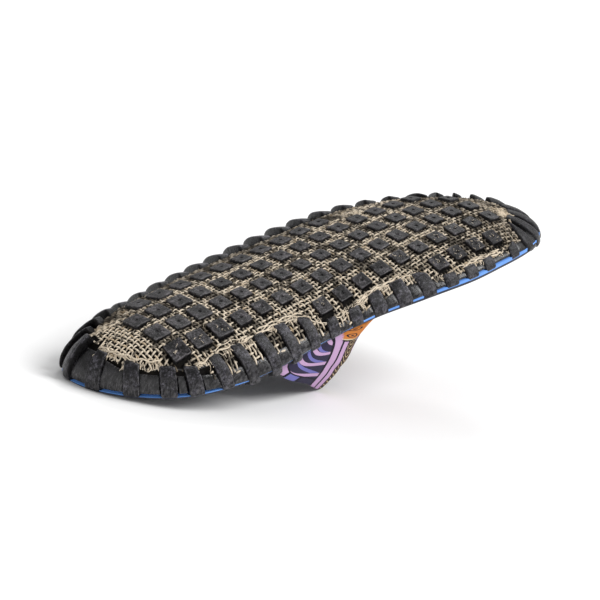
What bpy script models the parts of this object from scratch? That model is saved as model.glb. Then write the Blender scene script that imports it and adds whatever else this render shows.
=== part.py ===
"""Toe post sandal, right foot, lying sole up on its heel edge and strap.

Built in the frame of the shoe, in millimetres: X runs from heel to toe along
the rows of tread lugs, Y points to the medial side, Z points up when the shoe
is worn, and the tops of the middle lugs are near Z = 0.  The finished solids
are then turned over and set on the floor, and scaled to metres.
"""
import math

import bmesh
import bpy
import numpy as np
from mathutils import Vector
from mathutils.geometry import delaunay_2d_cdt

MM = 0.001
GAP = 0.3                      # clearance between touching pieces

# ---------------------------------------------------------------- sole outline
HEEL_X, TOE_X = -130.0, 150.0  # ends of the sole along the lug rows
HEEL_Y, TOE_Y = -25.6, 15.9    # where the two ends lie across the rows
# Fullness of the outline each side of the heel-to-toe line, row per section
FULLNESS_COLUMNS = ("fraction_of_length", "medial", "lateral")
FULLNESS = (
    (0.00, 66.0, 55.0),
    (0.10, 66.0, 49.5),
    (0.20, 58.5, 48.0),
    (0.30, 50.0, 49.5),
    (0.40, 43.8, 51.7),
    (0.50, 43.0, 53.6),
    (0.60, 47.3, 55.8),
    (0.70, 51.8, 58.0),
    (0.80, 53.0, 59.0),
    (0.90, 56.0, 59.5),
    (1.00, 60.0, 60.0),
)

# --------------------------------------------------------- side view of the sole
RIM_BALL, RIM_HEEL = 17.9, 26.9    # height of the footbed edge over the tread
RIM_FALL = (67.0, -73.0)           # the rim climbs from ball to heel between these
HEEL_TUCK, HEEL_TUCK_RUN = 2.5, 35.0
TOE_SPRING, TOE_SPRING_FROM, TOE_SPRING_RUN = 7.7, 47.0, 100.0
ARCH_RISE, ARCH_AT, ARCH_SPREAD = 1.5, -12.0, 42.0
# Roundness of the tread towards each rim: fuller on the medial side of the heel
CROWN_COLUMNS = ("x", "medial", "lateral")
CROWN = (
    (-130.0, 3.0, 3.0),
    (-125.0, 3.3, 2.75),
    (-119.0, 3.4, 2.35),
    (-110.0, 3.3, 2.12),
    (-97.0, 3.0, 2.10),
    (-83.0, 2.4, 2.10),
    (-65.0, 2.15, 2.10),
    (-50.0, 2.15, 2.15),
    (150.0, 2.15, 2.15),
)
END_HEEL_X, END_TOE_X = -85.5, 102.0   # the two ends fan round these points

# ------------------------------------------------------------------ tread pattern
LUG_PITCH, LUG_SIDE, LUG_HIGH, LUG_DRAFT = 13.8, 8.4, 2.8, 0.35
HEEL_LUG_SIDE, HEEL_LUG_LAST = 9.8, 0  # larger lugs up to this column
LUG_COLUMN_AT, LUG_ROW_AT = 5, -0.8    # lattice column and row through the origin
# Rows of square lugs from the medial to the lateral side, counted on the lattice
LUG_ROW_COLUMNS = ("row", "first_column", "last_column")
LUG_ROWS = (
    (2, 9, 12),
    (1, 4, 13),
    (0, -2, 13),
    (-1, -2, 13),
    (-2, -2, 12),
    (-3, -1, 8),
)

# -------------------------------------------------------------------- rim ribs
RIB_WIDE, RIB_WIDE_HEEL, RIB_DRAFT = 8.2, 8.6, 0.8
SIDE_RIB_COLUMNS = range(-2, 12)   # side ribs stand on the lug columns
# Ribs fanned round the ends, as shares of the rim from medial to lateral
HEEL_RIB_AT = (0.11, 0.275, 0.455, 0.615, 0.745, 0.87)
TOE_RIB_AT = (0.122, 0.212, 0.288, 0.36, 0.436, 0.514, 0.592, 0.672, 0.752, 0.833, 0.916)
RIB_RECESS = 1.5                   # depth of the panels between ribs at the wall
SHOULDER_STEPS = 5
STEEPEST = 0.6                     # keeps the step into the tread from growing
# How far the ribs reach in over the tread, as a share of the half width
REACH_COLUMNS = ("x", "medial", "lateral")
REACH = (
    (-130.0, 0.76, 0.70),
    (-124.0, 0.86, 0.66),
    (-116.0, 0.92, 0.63),
    (-108.0, 0.94, 0.61),
    (-102.0, 0.975, 0.60),
    (-97.0, 0.95, 0.60),
    (-91.0, 0.90, 0.60),
    (-82.0, 0.84, 0.60),
    (-70.0, 0.79, 0.60),
    (-30.0, 0.78, 0.64),
    (-16.0, 0.94, 0.65),
    (-8.0, 0.94, 0.66),
    (4.0, 0.89, 0.66),
    (20.0, 0.82, 0.67),
    (42.0, 0.80, 0.70),
    (50.0, 0.94, 0.71),
    (60.0, 0.94, 0.72),
    (98.0, 0.92, 0.76),
    (120.0, 0.80, 0.72),
    (150.0, 0.70, 0.68),
)

# ------------------------------------------------------------ rim edge and footbed
LIP = 3.2                          # rib thickness where it laps the footbed edge
BED_EDGE_HEEL, BED_EDGE_TOE = 4.6, 6.2     # footbed edge height at heel and toe
RIB_STOP_HEEL, RIB_STOP_TOE = 1.2, 3.6     # rib end to footbed top at heel and toe
FLANGE_IN = 0.9                    # footbed edge over the rib ends, in from the rim
PANEL_LIP = 0.6                    # panels between ribs lap the edge by this much
BED_ROUND = 0.6                    # rounded upper edge of the footbed
CUP_HEEL, CUP_TOE = 3.0, 1.2       # dish of the footbed top
BED_SEAT = 2.2                     # extra depth of the seat under the footbed
ARCH_PAD, ARCH_PAD_AT, ARCH_PAD_SPREAD = 2.0, -18.0, 34.0

# --------------------------------------------------------------------------- strap
STRAP_THICK = 3.0
STRAP_FOOT_GAP = 0.5               # strap ends over the faceted footbed top
STRAP_LONG_STEPS, STRAP_WIDE_STEPS = 32, 6
# Rear and front edge of the strap from the medial anchor (-1) over the toe post
# (0) to the lateral anchor (1); heights are over the rim of the footbed
STRAP_COLUMNS = ("along", "rear_x", "rear_y", "rear_h",
                 "front_x", "front_y", "front_h", "bulge")
STRAP = (
    (-1.00, -46.5, 29.0, 0.0, -6.0, 30.5, 0.0, 0.0),
    (-0.80, -37.0, 26.5, 12.0, 3.0, 32.5, 2.4, 0.5),
    (-0.60, -20.5, 18.5, 28.5, 8.0, 33.0, 3.2, 1.0),
    (-0.42, 3.5, 6.0, 47.0, 11.0, 32.5, 4.0, 1.0),
    (-0.22, 25.0, 7.0, 25.0, 30.0, 28.5, 6.0, 1.0),
    (0.00, 60.0, 14.5, 15.0, 92.0, 20.0, 10.5, 0.5),
    (0.22, 33.0, -7.5, 29.0, 42.0, -31.0, 10.0, 2.0),
    (0.42, 9.0, -18.0, 50.0, 22.0, -44.0, 7.5, 2.5),
    (0.60, -10.0, -36.0, 31.0, 14.0, -50.0, 5.0, 1.5),
    (0.80, -25.0, -49.5, 13.0, 10.0, -52.5, 3.0, 0.5),
    (1.00, -34.0, -54.0, 0.0, 4.0, -53.5, 0.0, 0.0),
)

# ------------------------------------------------------------------------ toe post
POST_X, POST_Y = 85.5, 18.8
POST_LONG, POST_WIDE, POST_FLARE = 10.0, 7.0, 1.35
POST_CLEAR = 1.0                   # under the folded strap
POST_SIDES = 20

# --------------------------------------------------------------------- plain tools


def column(table, names, name, at):
    """Smooth curve through one column of a section table."""
    key = [row[0] for row in table]
    val = [row[names.index(name)] for row in table]
    at = min(max(at, key[0]), key[-1])
    k = max(i for i in range(len(key) - 1) if key[i] <= at)
    span = key[k + 1] - key[k]
    u = (at - key[k]) / span

    def slope(i):
        a, b = max(i - 1, 0), min(i + 1, len(key) - 1)
        return (val[b] - val[a]) / (key[b] - key[a]) * span

    u2, u3 = u * u, u * u * u
    return ((2 * u3 - 3 * u2 + 1) * val[k] + (u3 - 2 * u2 + u) * slope(k)
            + (3 * u2 - 2 * u3) * val[k + 1] + (u3 - u2) * slope(k + 1))


def smooth(u):
    u = min(max(u, 0.0), 1.0)
    return u * u * (3.0 - 2.0 * u)


def blend(heel, toe, x):
    return heel + (toe - heel) * smooth((x - HEEL_X) / (TOE_X - HEEL_X))


# ------------------------------------------------------------------- sole surfaces


def spine_y(x):
    return HEEL_Y + (TOE_Y - HEEL_Y) * min(max((x - HEEL_X) / (TOE_X - HEEL_X), 0.0), 1.0)


def edge_y(x, side):
    """Outline of the sole at x: side 1 is medial, -1 lateral."""
    f = min(max((x - HEEL_X) / (TOE_X - HEEL_X), 0.0), 1.0)
    full = column(FULLNESS, FULLNESS_COLUMNS, "medial" if side > 0 else "lateral", f)
    return spine_y(x) + side * full * 2.0 * math.sqrt(f * (1.0 - f))


def tread_line(x):
    spring = TOE_SPRING * (max(x - TOE_SPRING_FROM, 0.0) / TOE_SPRING_RUN) ** 2
    arch = ARCH_RISE * math.exp(-((x - ARCH_AT) / ARCH_SPREAD) ** 2)
    return spring + arch


def rim_rise(x):
    a, b = RIM_FALL
    rise = RIM_BALL + (RIM_HEEL - RIM_BALL) * smooth((a - x) / (a - b))
    tuck = HEEL_TUCK * max((HEEL_X + HEEL_TUCK_RUN - x) / HEEL_TUCK_RUN, 0.0) ** 2
    return rise - tuck - ARCH_RISE * math.exp(-((x - ARCH_AT) / ARCH_SPREAD) ** 2)


def rim_z(x):
    return tread_line(x) + rim_rise(x)


def anchor_of(x):
    ax = min(max(x, END_HEEL_X), END_TOE_X)
    return ax, spine_y(ax)


def share(x, y):
    """How far a plan point lies from the spine (0) to the outline (1)."""
    ax, ay = anchor_of(x)
    dx, dy = x - ax, y - ay
    if abs(dx) < 1e-9 and abs(dy) < 1e-9:
        return 0.0
    low, high = 1e-3, 3.0
    for _ in range(40):
        mid = 0.5 * (low + high)
        px, py = ax + dx / mid, ay + dy / mid
        inside = (HEEL_X < px < TOE_X and edge_y(px, -1) < py < edge_y(px, 1))
        low, high = (low, mid) if inside else (mid, high)
    return high


def crown_power(x, side):
    return column(CROWN, CROWN_COLUMNS, "medial" if side > 0 else "lateral", x)


def crown(s, power):
    s = min(max(s, 0.0), 1.0)
    return 1.0 - (1.0 - s ** power) ** (1.0 / power)


def tread_z(x, y):
    """Surface through the tops of the lugs and ribs."""
    s = share(x, y)
    ax, ay = anchor_of(x)
    rim_x = ax + (x - ax) / max(s, 1e-3)
    power = crown_power(rim_x, 1 if y > ay else -1)
    return tread_line(x) + rim_rise(x) * crown(min(s, 0.97), power)


def tread_normal(x, y, step=0.6):
    gx = (tread_z(x + step, y) - tread_z(x - step, y)) / (2 * step)
    gy = (tread_z(x, y + step) - tread_z(x, y - step)) / (2 * step)
    return Vector((-gx, -gy, 1.0)).normalized()


def ground_z(x, y):
    """Surface of the sole between the lugs."""
    return tread_z(x, y) + LUG_HIGH / max(tread_normal(x, y).z, STEEPEST)


def bed_edge(x):
    return blend(BED_EDGE_HEEL, BED_EDGE_TOE, x)


def rib_stop(x):
    return blend(RIB_STOP_HEEL, RIB_STOP_TOE, x)


def bed_share(x, y):
    """Like share, but 1 at the rounded upper edge of the footbed."""
    ax, ay = anchor_of(x)
    s = share(x, y)
    reach = math.hypot(x - ax, y - ay) / max(s, 1e-6)
    return min(s * reach / max(reach - FLANGE_IN - BED_ROUND, 1.0), 1.0)


def bed_top_z(x, y):
    s = bed_share(x, y)
    pad = ARCH_PAD * math.exp(-((x - ARCH_PAD_AT) / ARCH_PAD_SPREAD) ** 2)
    pad *= smooth((y - spine_y(x)) / 40.0) * (1.0 - s ** 6)
    return rim_z(x) - blend(CUP_HEEL, CUP_TOE, x) * (1.0 - s ** 4) + pad


def seat_z(x, y):
    s = bed_share(x, y)
    drop = blend(CUP_HEEL, CUP_TOE, x) + BED_SEAT
    return rim_z(x) - bed_edge(x) - drop * (1.0 - s ** 4)


# --------------------------------------------------------------------- rim stations


def end_path(toe):
    """Edges of the ribs round one end, from medial to lateral."""
    first = (max(SIDE_RIB_COLUMNS) if toe else min(SIDE_RIB_COLUMNS)) - LUG_COLUMN_AT
    x0 = first * LUG_PITCH
    tip = TOE_X if toe else HEEL_X
    path = []
    for side in (1, -1):
        run = [tip + (x0 - tip) * (k / 60.0) ** 2 for k in range(61)]
        pts = [(x, edge_y(x, side)) for x in run]
        path += pts[::-1] if side > 0 else pts[1:]
    dist = [0.0]
    for a, b in zip(path, path[1:]):
        dist.append(dist[-1] + math.dist(a, b))

    def at(d):
        k = max(i for i in range(len(dist) - 1) if dist[i] <= d)
        u = (d - dist[k]) / (dist[k + 1] - dist[k])
        return tuple(p + (q - p) * u for p, q in zip(path[k], path[k + 1]))

    wide = RIB_WIDE if toe else RIB_WIDE_HEEL
    half, soft = 0.5 * wide, 0.5 * RIB_DRAFT
    out = []
    for along in TOE_RIB_AT if toe else HEEL_RIB_AT:
        c = along * dist[-1]
        for d, rib in ((-half - soft, 0), (-half + soft, 1), (half - soft, 1), (half + soft, 0)):
            out.append(at(c + d) + (rib,))
    return out


def side_path(side):
    half, soft = 0.5 * RIB_WIDE, 0.5 * RIB_DRAFT
    out = []
    for i in SIDE_RIB_COLUMNS:
        c = (i - LUG_COLUMN_AT) * LUG_PITCH
        for d, rib in ((-half - soft, 0), (-half + soft, 1), (half - soft, 1), (half + soft, 0)):
            out.append((c + d, edge_y(c + d, side), rib))
    return out


def stations():
    """Points round the outline with a mark for rib (1) or panel (0)."""
    return (side_path(1) + end_path(True)
            + side_path(-1)[::-1] + end_path(False)[::-1])


class Section:
    """One upright cut from the spine to a point of the outline."""

    def __init__(self, x, y, rib):
        self.x, self.y, self.rib = x, y, rib
        ax, ay = anchor_of(x)
        self.reach = math.hypot(x - ax, y - ay)
        self.dir = ((x - ax) / self.reach, (y - ay) / self.reach)
        self.anchor = (ax, ay)
        self.rise, self.power = rim_rise(x), crown_power(x, 1 if y > ay else -1)
        side = "medial" if y > ay else "lateral"
        self.start = column(REACH, REACH_COLUMNS, side, x)

    def place(self, out, z):
        return (self.anchor[0] + self.dir[0] * out, self.anchor[1] + self.dir[1] * out, z)

    def lifted(self, out):
        return tread_line(self.anchor[0] + self.dir[0] * out)

    def shell(self, turn, depth, lean=1.0):
        """Point on the rounded shoulder, sunk by depth straight up (lean 0) or
        along its normal (lean 1)."""
        power = 2.0 / self.power

        def raw(a):
            return (self.reach * math.sin(a) ** power,
                    self.rise * (1.0 - math.cos(a) ** power))

        (o0, z0), (o1, z1) = raw(turn - 0.002), raw(min(turn + 0.002, 0.5 * math.pi))
        length = math.hypot(o1 - o0, z1 - z0)
        flat, steep = (o1 - o0) / length, (z1 - z0) / length
        out, z = raw(turn)
        out -= depth * steep * lean
        z += depth * (flat * lean + (1.0 - lean) / max(flat, STEEPEST))
        return self.place(out, z + self.lifted(out))

    def turn_at_share(self, s):
        return math.asin(min(s, 1.0) ** (0.5 * self.power))

    def turn_below_rim(self, drop):
        return math.acos((drop / self.rise) ** (0.5 * self.power))

    def rim_profile(self):
        seat = bed_edge(self.x)
        stop = rib_stop(self.x) if self.rib else seat - PANEL_LIP
        first = self.turn_at_share(self.start)
        last = self.turn_below_rim(stop)
        pts = [self.shell(first, LUG_HIGH, 0.0)]
        for k in range(SHOULDER_STEPS + 1):
            u = k / SHOULDER_STEPS
            turn = first + (last - first) * u
            if self.rib:
                pts.append(self.shell(turn, 0.0))
            else:
                turn += 0.04 * (1.0 - u) ** 2
                depth = LUG_HIGH + (RIB_RECESS - LUG_HIGH) * smooth(1.6 * u)
                pts.append(self.shell(turn, depth, smooth(1.4 * u)))
        end_z = pts[-1][2]
        pts.append(self.place(self.reach - LIP, end_z))
        pts.append(self.place(self.reach - LIP, rim_z(self.x) - seat))
        return pts


# -------------------------------------------------------------------- mesh helpers


def fill(loop, spots, holes, height):
    """Triangles over a plan loop; holes are left open; returns points and faces."""
    loop = list(loop)
    if sum(a[0] * b[1] - b[0] * a[1] for a, b in zip(loop, loop[1:] + loop[:1])) < 0.0:
        loop.reverse()
    pts = [Vector(p[:2]) for p in loop]
    faces = [list(range(len(loop)))]
    for hole in holes:
        start = len(pts)
        pts += [Vector(p[:2]) for p in hole]
        faces.append(list(range(start, start + len(hole))))
    fixed = len(pts)
    pts += [Vector(p) for p in spots]
    out, _, tris, origin, _, parents = delaunay_2d_cdt(pts, [], faces, 1, 1e-5)
    known = [p for p in loop]
    for hole in holes:
        known += list(hole)
    place = []
    for v, src in zip(out, origin):
        old = [s for s in src if s < fixed]
        place.append(tuple(known[old[0]]) if old else (v.x, v.y, height(v.x, v.y)))
    keep = [t for t, par in zip(tris, parents) if 0 in par and not any(p > 0 for p in par)]
    return place, keep


def ring_faces(rows, count):
    """Quads between closed rows of points laid out row after row."""
    quads = []
    for r in range(rows - 1):
        for k in range(count):
            n = (k + 1) % count
            quads.append((r * count + k, r * count + n, (r + 1) * count + n, (r + 1) * count + k))
    return quads


class Solid:
    """Collects points and faces of one closed piece, sharing equal points."""

    def __init__(self):
        self.points, self.faces, self.index = [], [], {}

    def spot(self, p):
        key = tuple(round(c, 4) for c in p)
        if key not in self.index:
            self.index[key] = len(self.points)
            self.points.append(tuple(p))
        return self.index[key]

    def add(self, places, faces):
        ids = [self.spot(p) for p in places]
        for f in faces:
            g = [ids[i] for i in f]
            g = [a for a, b in zip(g, g[1:] + g[:1]) if a != b]
            if len(set(g)) >= 3:
                self.faces.append(g)


def grid_spots(step_x, step_y, limit):
    spots = []
    x = HEEL_X + step_x
    while x < TOE_X - 2.0:
        y = -70.0
        while y < 70.0:
            if share(x, y) < limit:
                spots.append((x, y))
            y += step_y
        x += step_x
    return spots


# ------------------------------------------------------------------------- pieces


def lattice(i, j):
    return (i - LUG_COLUMN_AT) * LUG_PITCH, (j - LUG_ROW_AT) * LUG_PITCH


def reach_limit(x, y):
    return column(REACH, REACH_COLUMNS, "medial" if y > anchor_of(x)[1] else "lateral", x)


def outsole(cuts):
    solid = Solid()
    rings = list(zip(*[c.rim_profile() for c in cuts]))
    count = len(cuts)
    solid.add([p for ring in rings for p in ring], ring_faces(len(rings), count))

    lugs, spots = [], []
    for j, first, last in LUG_ROWS:
        for i in range(first, last + 1):
            cx, cy = lattice(i, j)
            half = 0.5 * (HEEL_LUG_SIDE if i <= HEEL_LUG_LAST else LUG_SIDE)
            lugs.append((cx, cy, half, [(cx + a * half, cy + b * half)
                                        for a, b in ((-1, -1), (1, -1), (1, 1), (-1, 1))]))
    taken = {(round(x, 2), round(y, 2)) for x, y, _, _ in lugs}
    for i in range(-5, 17):
        for j in range(-5, 5):
            for at in (lattice(i, j), lattice(i + 0.5, j + 0.5)):
                free = (round(at[0], 2), round(at[1], 2)) not in taken
                if free and share(*at) < reach_limit(*at) - 0.14:
                    spots.append(at)

    bases = [[(x, y, ground_z(x, y)) for x, y in corners] for _, _, _, corners in lugs]
    places, tris = fill(rings[0], spots, bases, ground_z)
    solid.add(places, tris)
    for (cx, cy, half, _), base in zip(lugs, bases):
        up = -tread_normal(cx, cy)
        mid = Vector((cx, cy, tread_z(cx, cy)))
        across = Vector((1.0, 0.0, 0.0)) - up * up.x
        across.normalize()
        along = up.cross(across)
        if along.y < 0:
            along = -along
        top = half - LUG_DRAFT
        tops = [tuple(mid + across * (a * top) + along * (b * top))
                for a, b in ((-1, -1), (1, -1), (1, 1), (-1, 1))]
        solid.add(base + tops, [(k, (k + 1) % 4, 4 + (k + 1) % 4, 4 + k) for k in range(4)]
                  + [(4, 5, 6, 7)])

    spots = grid_spots(16.0, 15.0, 0.86)
    places, tris = fill(rings[-1], spots, [], seat_z)
    solid.add(places, tris)
    return solid


def footbed(cuts):
    solid = Solid()
    inner = LIP + GAP
    rows = ([], [], [], [], [])
    for c in cuts:
        top = rim_z(c.x)
        step = top - rib_stop(c.x) + GAP
        rows[0].append(c.place(c.reach - inner, top - bed_edge(c.x) + GAP))
        rows[1].append(c.place(c.reach - inner, step))
        rows[2].append(c.place(c.reach - FLANGE_IN, step))
        rows[3].append(c.place(c.reach - FLANGE_IN, top - BED_ROUND))
        rows[4].append(c.place(c.reach - FLANGE_IN - BED_ROUND, top))
    solid.add([p for row in rows for p in row], ring_faces(len(rows), len(cuts)))
    spots = grid_spots(16.0, 15.0, 0.86)
    solid.add(*fill(rows[0], spots, [], lambda x, y: seat_z(x, y) + GAP))
    solid.add(*fill(rows[-1], spots, [], bed_top_z))
    return solid


def strap_row(t):
    value = {n: column(STRAP, STRAP_COLUMNS, n, t) for n in STRAP_COLUMNS[1:]}
    rear = Vector((value["rear_x"], value["rear_y"], rim_z(value["rear_x"]) + value["rear_h"]))
    front = Vector((value["front_x"], value["front_y"], rim_z(value["front_x"]) + value["front_h"]))
    return rear, front, value["bulge"]


def strap():
    solid = Solid()
    n, m = STRAP_LONG_STEPS, STRAP_WIDE_STEPS
    face = []
    for a in range(n + 1):
        t = -1.0 + 2.0 * a / n
        rear, front, bulge = strap_row(t)
        row = []
        for b in range(m + 1):
            w = b / m
            p = rear.lerp(front, w)
            out = Vector((0.25, p.y - spine_y(p.x), 26.0)).normalized()
            row.append(p + out * (bulge * 4.0 * w * (1.0 - w)))
        face.append(row)

    def normal(a, b):
        along = face[min(a + 1, n)][b] - face[max(a - 1, 0)][b]
        wide = face[a][min(b + 1, m)] - face[a][max(b - 1, 0)]
        up = wide.cross(along)
        up.normalize()
        return up

    sign = 1.0 if normal(n // 2, m // 2).z > 0 else -1.0
    outer, inner = [], []
    for a in range(n + 1):
        for b in range(m + 1):
            p, up = face[a][b], normal(a, b) * sign
            if a in (0, n):
                up = Vector((0.0, 1.0 if a == 0 else -1.0, 0.0))
            edge = 0.35 * STRAP_THICK if b in (0, m) else 0.0
            o = p - up * edge
            i = p - up * (STRAP_THICK - edge)
            if a in (0, n):
                o.z = bed_top_z(o.x, o.y) + STRAP_FOOT_GAP
                i.z = bed_top_z(i.x, i.y) + STRAP_FOOT_GAP
            outer.append(tuple(o))
            inner.append(tuple(i))
    wide = m + 1
    size = (n + 1) * wide
    faces = []
    for a in range(n):
        for b in range(m):
            q = (a * wide + b, a * wide + b + 1, (a + 1) * wide + b + 1, (a + 1) * wide + b)
            faces.append(q)
            faces.append(tuple(size + k for k in reversed(q)))
        for b in (0, m):
            q = (a * wide + b, (a + 1) * wide + b)
            faces.append((q[0], q[1], size + q[1], size + q[0]))
    for a in (0, n):
        for b in range(m):
            q = (a * wide + b, a * wide + b + 1)
            faces.append((q[0], q[1], size + q[1], size + q[0]))
    solid.add(outer + inner, faces)
    return solid


def strap_under_z(x):
    """Underside of the strap along its middle line, over the toe post."""
    rear, front, _ = strap_row(0.0)
    fall = (front.z - rear.z) / (front.x - rear.x)
    return rear.z + fall * (x - rear.x) - STRAP_THICK * math.hypot(1.0, fall)


def toe_post():
    solid = Solid()
    rows = []
    for high, flare in ((0.0, POST_FLARE), (0.22, 1.08), (0.5, 1.0), (0.93, 1.0), (1.0, 0.88)):
        row = []
        for k in range(POST_SIDES):
            a = 2.0 * math.pi * k / POST_SIDES
            x = POST_X + 0.5 * POST_LONG * flare * math.cos(a)
            y = POST_Y + 0.5 * POST_WIDE * flare * math.sin(a)
            low, top = bed_top_z(x, y) + GAP, strap_under_z(x) - POST_CLEAR
            row.append((x, y, low + (top - low) * high))
        rows.append(row)
    solid.add([p for row in rows for p in row], ring_faces(len(rows), POST_SIDES))
    solid.add(rows[0], [tuple(range(POST_SIDES))])
    solid.add(rows[-1], [tuple(range(POST_SIDES))])
    return solid


# --------------------------------------------------------------------- resting pose


def rest_frame(pieces):
    """Floor under the heel edge and the two crests of the strap, shoe turned over."""
    sole = np.array(pieces["outsole"].points)
    bed = np.array(pieces["footbed"].points)
    band = np.array(pieces["strap"].points)
    low = np.concatenate([sole, bed])
    heel = low[low[:, 0] < END_HEEL_X]
    spine = np.array([spine_y(x) for x in band[:, 0]])
    medial, lateral = band[band[:, 1] > spine], band[band[:, 1] <= spine]
    up = np.array([0.3, 0.0, -1.0])
    for _ in range(30):
        touch = [g[np.argmin(g @ up)] for g in (heel, medial, lateral)]
        up = np.cross(touch[1] - touch[0], touch[2] - touch[0])
        up = up / np.linalg.norm(up)
        up = up if up[2] < 0 else -up
    toe = np.array([TOE_X - HEEL_X, TOE_Y - HEEL_Y, 0.0])
    ahead = toe - up * (toe @ up)
    ahead = ahead / np.linalg.norm(ahead)
    turn = np.stack([ahead, np.cross(up, ahead), up])
    every = np.concatenate([np.array(p.points) for p in pieces.values()]) @ turn.T
    low_c, high_c = every.min(0), every.max(0)
    shift = -np.array([0.5 * (low_c[0] + high_c[0]), 0.5 * (low_c[1] + high_c[1]), low_c[2]])
    return turn, shift


def paint(name, colour, rough):
    mat = bpy.data.materials.new(name)
    mat.use_nodes = True
    node = mat.node_tree.nodes["Principled BSDF"]
    node.inputs["Base Color"].default_value = colour + (1.0,)
    node.inputs["Roughness"].default_value = rough
    node.inputs["Metallic"].default_value = 0.0
    return mat


def to_object(name, solid, turn, shift, mat):
    bm = bmesh.new()
    verts = [bm.verts.new(Vector((turn @ np.array(p) + shift) * MM)) for p in solid.points]
    for f in solid.faces:
        bm.faces.new([verts[i] for i in f])
    loose = [v for v in bm.verts if not v.link_faces]
    bmesh.ops.delete(bm, geom=loose, context="VERTS")
    bmesh.ops.triangulate(bm, faces=bm.faces[:])
    bmesh.ops.recalc_face_normals(bm, faces=bm.faces[:])
    mesh = bpy.data.meshes.new(name)
    bm.to_mesh(mesh)
    bm.free()
    mesh.materials.append(mat)
    obj = bpy.data.objects.new(name, mesh)
    bpy.context.scene.collection.objects.link(obj)
    return obj


def main():
    for obj in list(bpy.data.objects):
        bpy.data.objects.remove(obj, do_unlink=True)
    cuts = [Section(*s) for s in stations()]
    pieces = {
        "outsole": outsole(cuts),
        "footbed": footbed(cuts),
        "strap": strap(),
        "toe_post": toe_post(),
    }
    turn, shift = rest_frame(pieces)
    looks = {
        "outsole": paint("sole_rubber", (0.022, 0.021, 0.024), 0.55),
        "footbed": paint("footbed_foam", (0.11, 0.30, 0.75), 0.7),
        "strap": paint("strap_canvas", (0.045, 0.045, 0.12), 0.85),
        "toe_post": paint("post_canvas", (0.55, 0.22, 0.05), 0.85),
    }
    for name, solid in pieces.items():
        to_object(name, solid, turn, shift, looks[name])


main()
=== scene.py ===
"""Looks of the toe post sandal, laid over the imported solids.

Shapes are worked out in the frame of the shoe, in millimetres: X from heel to
toe along the lug rows, Y to the medial side, Z up when the shoe is worn.  The
shoe is then turned over and laid on the floor exactly as its solids are.
"""
import math

import bpy
import numpy as np
from mathutils import Matrix, Vector


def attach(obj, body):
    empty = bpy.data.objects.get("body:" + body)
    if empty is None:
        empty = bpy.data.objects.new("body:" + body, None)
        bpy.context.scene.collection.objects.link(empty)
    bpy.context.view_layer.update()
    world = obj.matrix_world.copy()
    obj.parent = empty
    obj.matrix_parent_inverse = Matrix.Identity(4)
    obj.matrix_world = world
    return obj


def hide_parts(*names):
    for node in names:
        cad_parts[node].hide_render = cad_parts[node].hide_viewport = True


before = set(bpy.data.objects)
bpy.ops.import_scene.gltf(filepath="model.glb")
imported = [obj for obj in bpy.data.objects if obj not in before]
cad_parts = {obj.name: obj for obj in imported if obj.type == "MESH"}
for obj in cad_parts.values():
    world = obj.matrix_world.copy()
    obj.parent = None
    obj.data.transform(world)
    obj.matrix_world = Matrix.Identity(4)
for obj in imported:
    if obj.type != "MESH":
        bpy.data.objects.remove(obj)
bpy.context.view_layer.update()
MM = 0.001
dice = np.random.default_rng(41)

# ------------------------------------------------------------ sizes of the solids
GAP = 0.3
HEEL_X, TOE_X = -130.0, 150.0
HEEL_Y, TOE_Y = -25.6, 15.9
FULLNESS_COLUMNS = ("fraction_of_length", "medial", "lateral")
FULLNESS = (
    (0.00, 66.0, 55.0),
    (0.10, 66.0, 49.5),
    (0.20, 58.5, 48.0),
    (0.30, 50.0, 49.5),
    (0.40, 43.8, 51.7),
    (0.50, 43.0, 53.6),
    (0.60, 47.3, 55.8),
    (0.70, 51.8, 58.0),
    (0.80, 53.0, 59.0),
    (0.90, 56.0, 59.5),
    (1.00, 60.0, 60.0),
)
RIM_BALL, RIM_HEEL = 17.9, 26.9
RIM_FALL = (67.0, -73.0)
HEEL_TUCK, HEEL_TUCK_RUN = 2.5, 35.0
TOE_SPRING, TOE_SPRING_FROM, TOE_SPRING_RUN = 7.7, 47.0, 100.0
ARCH_RISE, ARCH_AT, ARCH_SPREAD = 1.5, -12.0, 42.0
CROWN_COLUMNS = ("x", "medial", "lateral")
CROWN = (
    (-130.0, 3.0, 3.0),
    (-125.0, 3.3, 2.75),
    (-119.0, 3.4, 2.35),
    (-110.0, 3.3, 2.12),
    (-97.0, 3.0, 2.10),
    (-83.0, 2.4, 2.10),
    (-65.0, 2.15, 2.10),
    (-50.0, 2.15, 2.15),
    (150.0, 2.15, 2.15),
)
END_HEEL_X, END_TOE_X = -85.5, 102.0

LUG_PITCH, LUG_SIDE, LUG_HIGH, LUG_DRAFT = 13.8, 8.4, 2.8, 0.35
HEEL_LUG_SIDE, HEEL_LUG_LAST = 9.8, 0
LUG_COLUMN_AT, LUG_ROW_AT = 5, -0.8
LUG_ROW_COLUMNS = ("row", "first_column", "last_column")
LUG_ROWS = (
    (2, 9, 12),
    (1, 4, 13),
    (0, -2, 13),
    (-1, -2, 13),
    (-2, -2, 12),
    (-3, -1, 8),
)
RIB_WIDE, RIB_WIDE_HEEL, RIB_DRAFT = 8.2, 8.6, 0.8
SIDE_RIB_COLUMNS = range(-2, 12)
HEEL_RIB_AT = (0.11, 0.275, 0.455, 0.615, 0.745, 0.87)
TOE_RIB_AT = (0.122, 0.212, 0.288, 0.36, 0.436, 0.514, 0.592, 0.672, 0.752, 0.833, 0.916)
RIB_RECESS = 1.5
SHOULDER_STEPS = 5
STEEPEST = 0.6
REACH_COLUMNS = ("x", "medial", "lateral")
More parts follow.
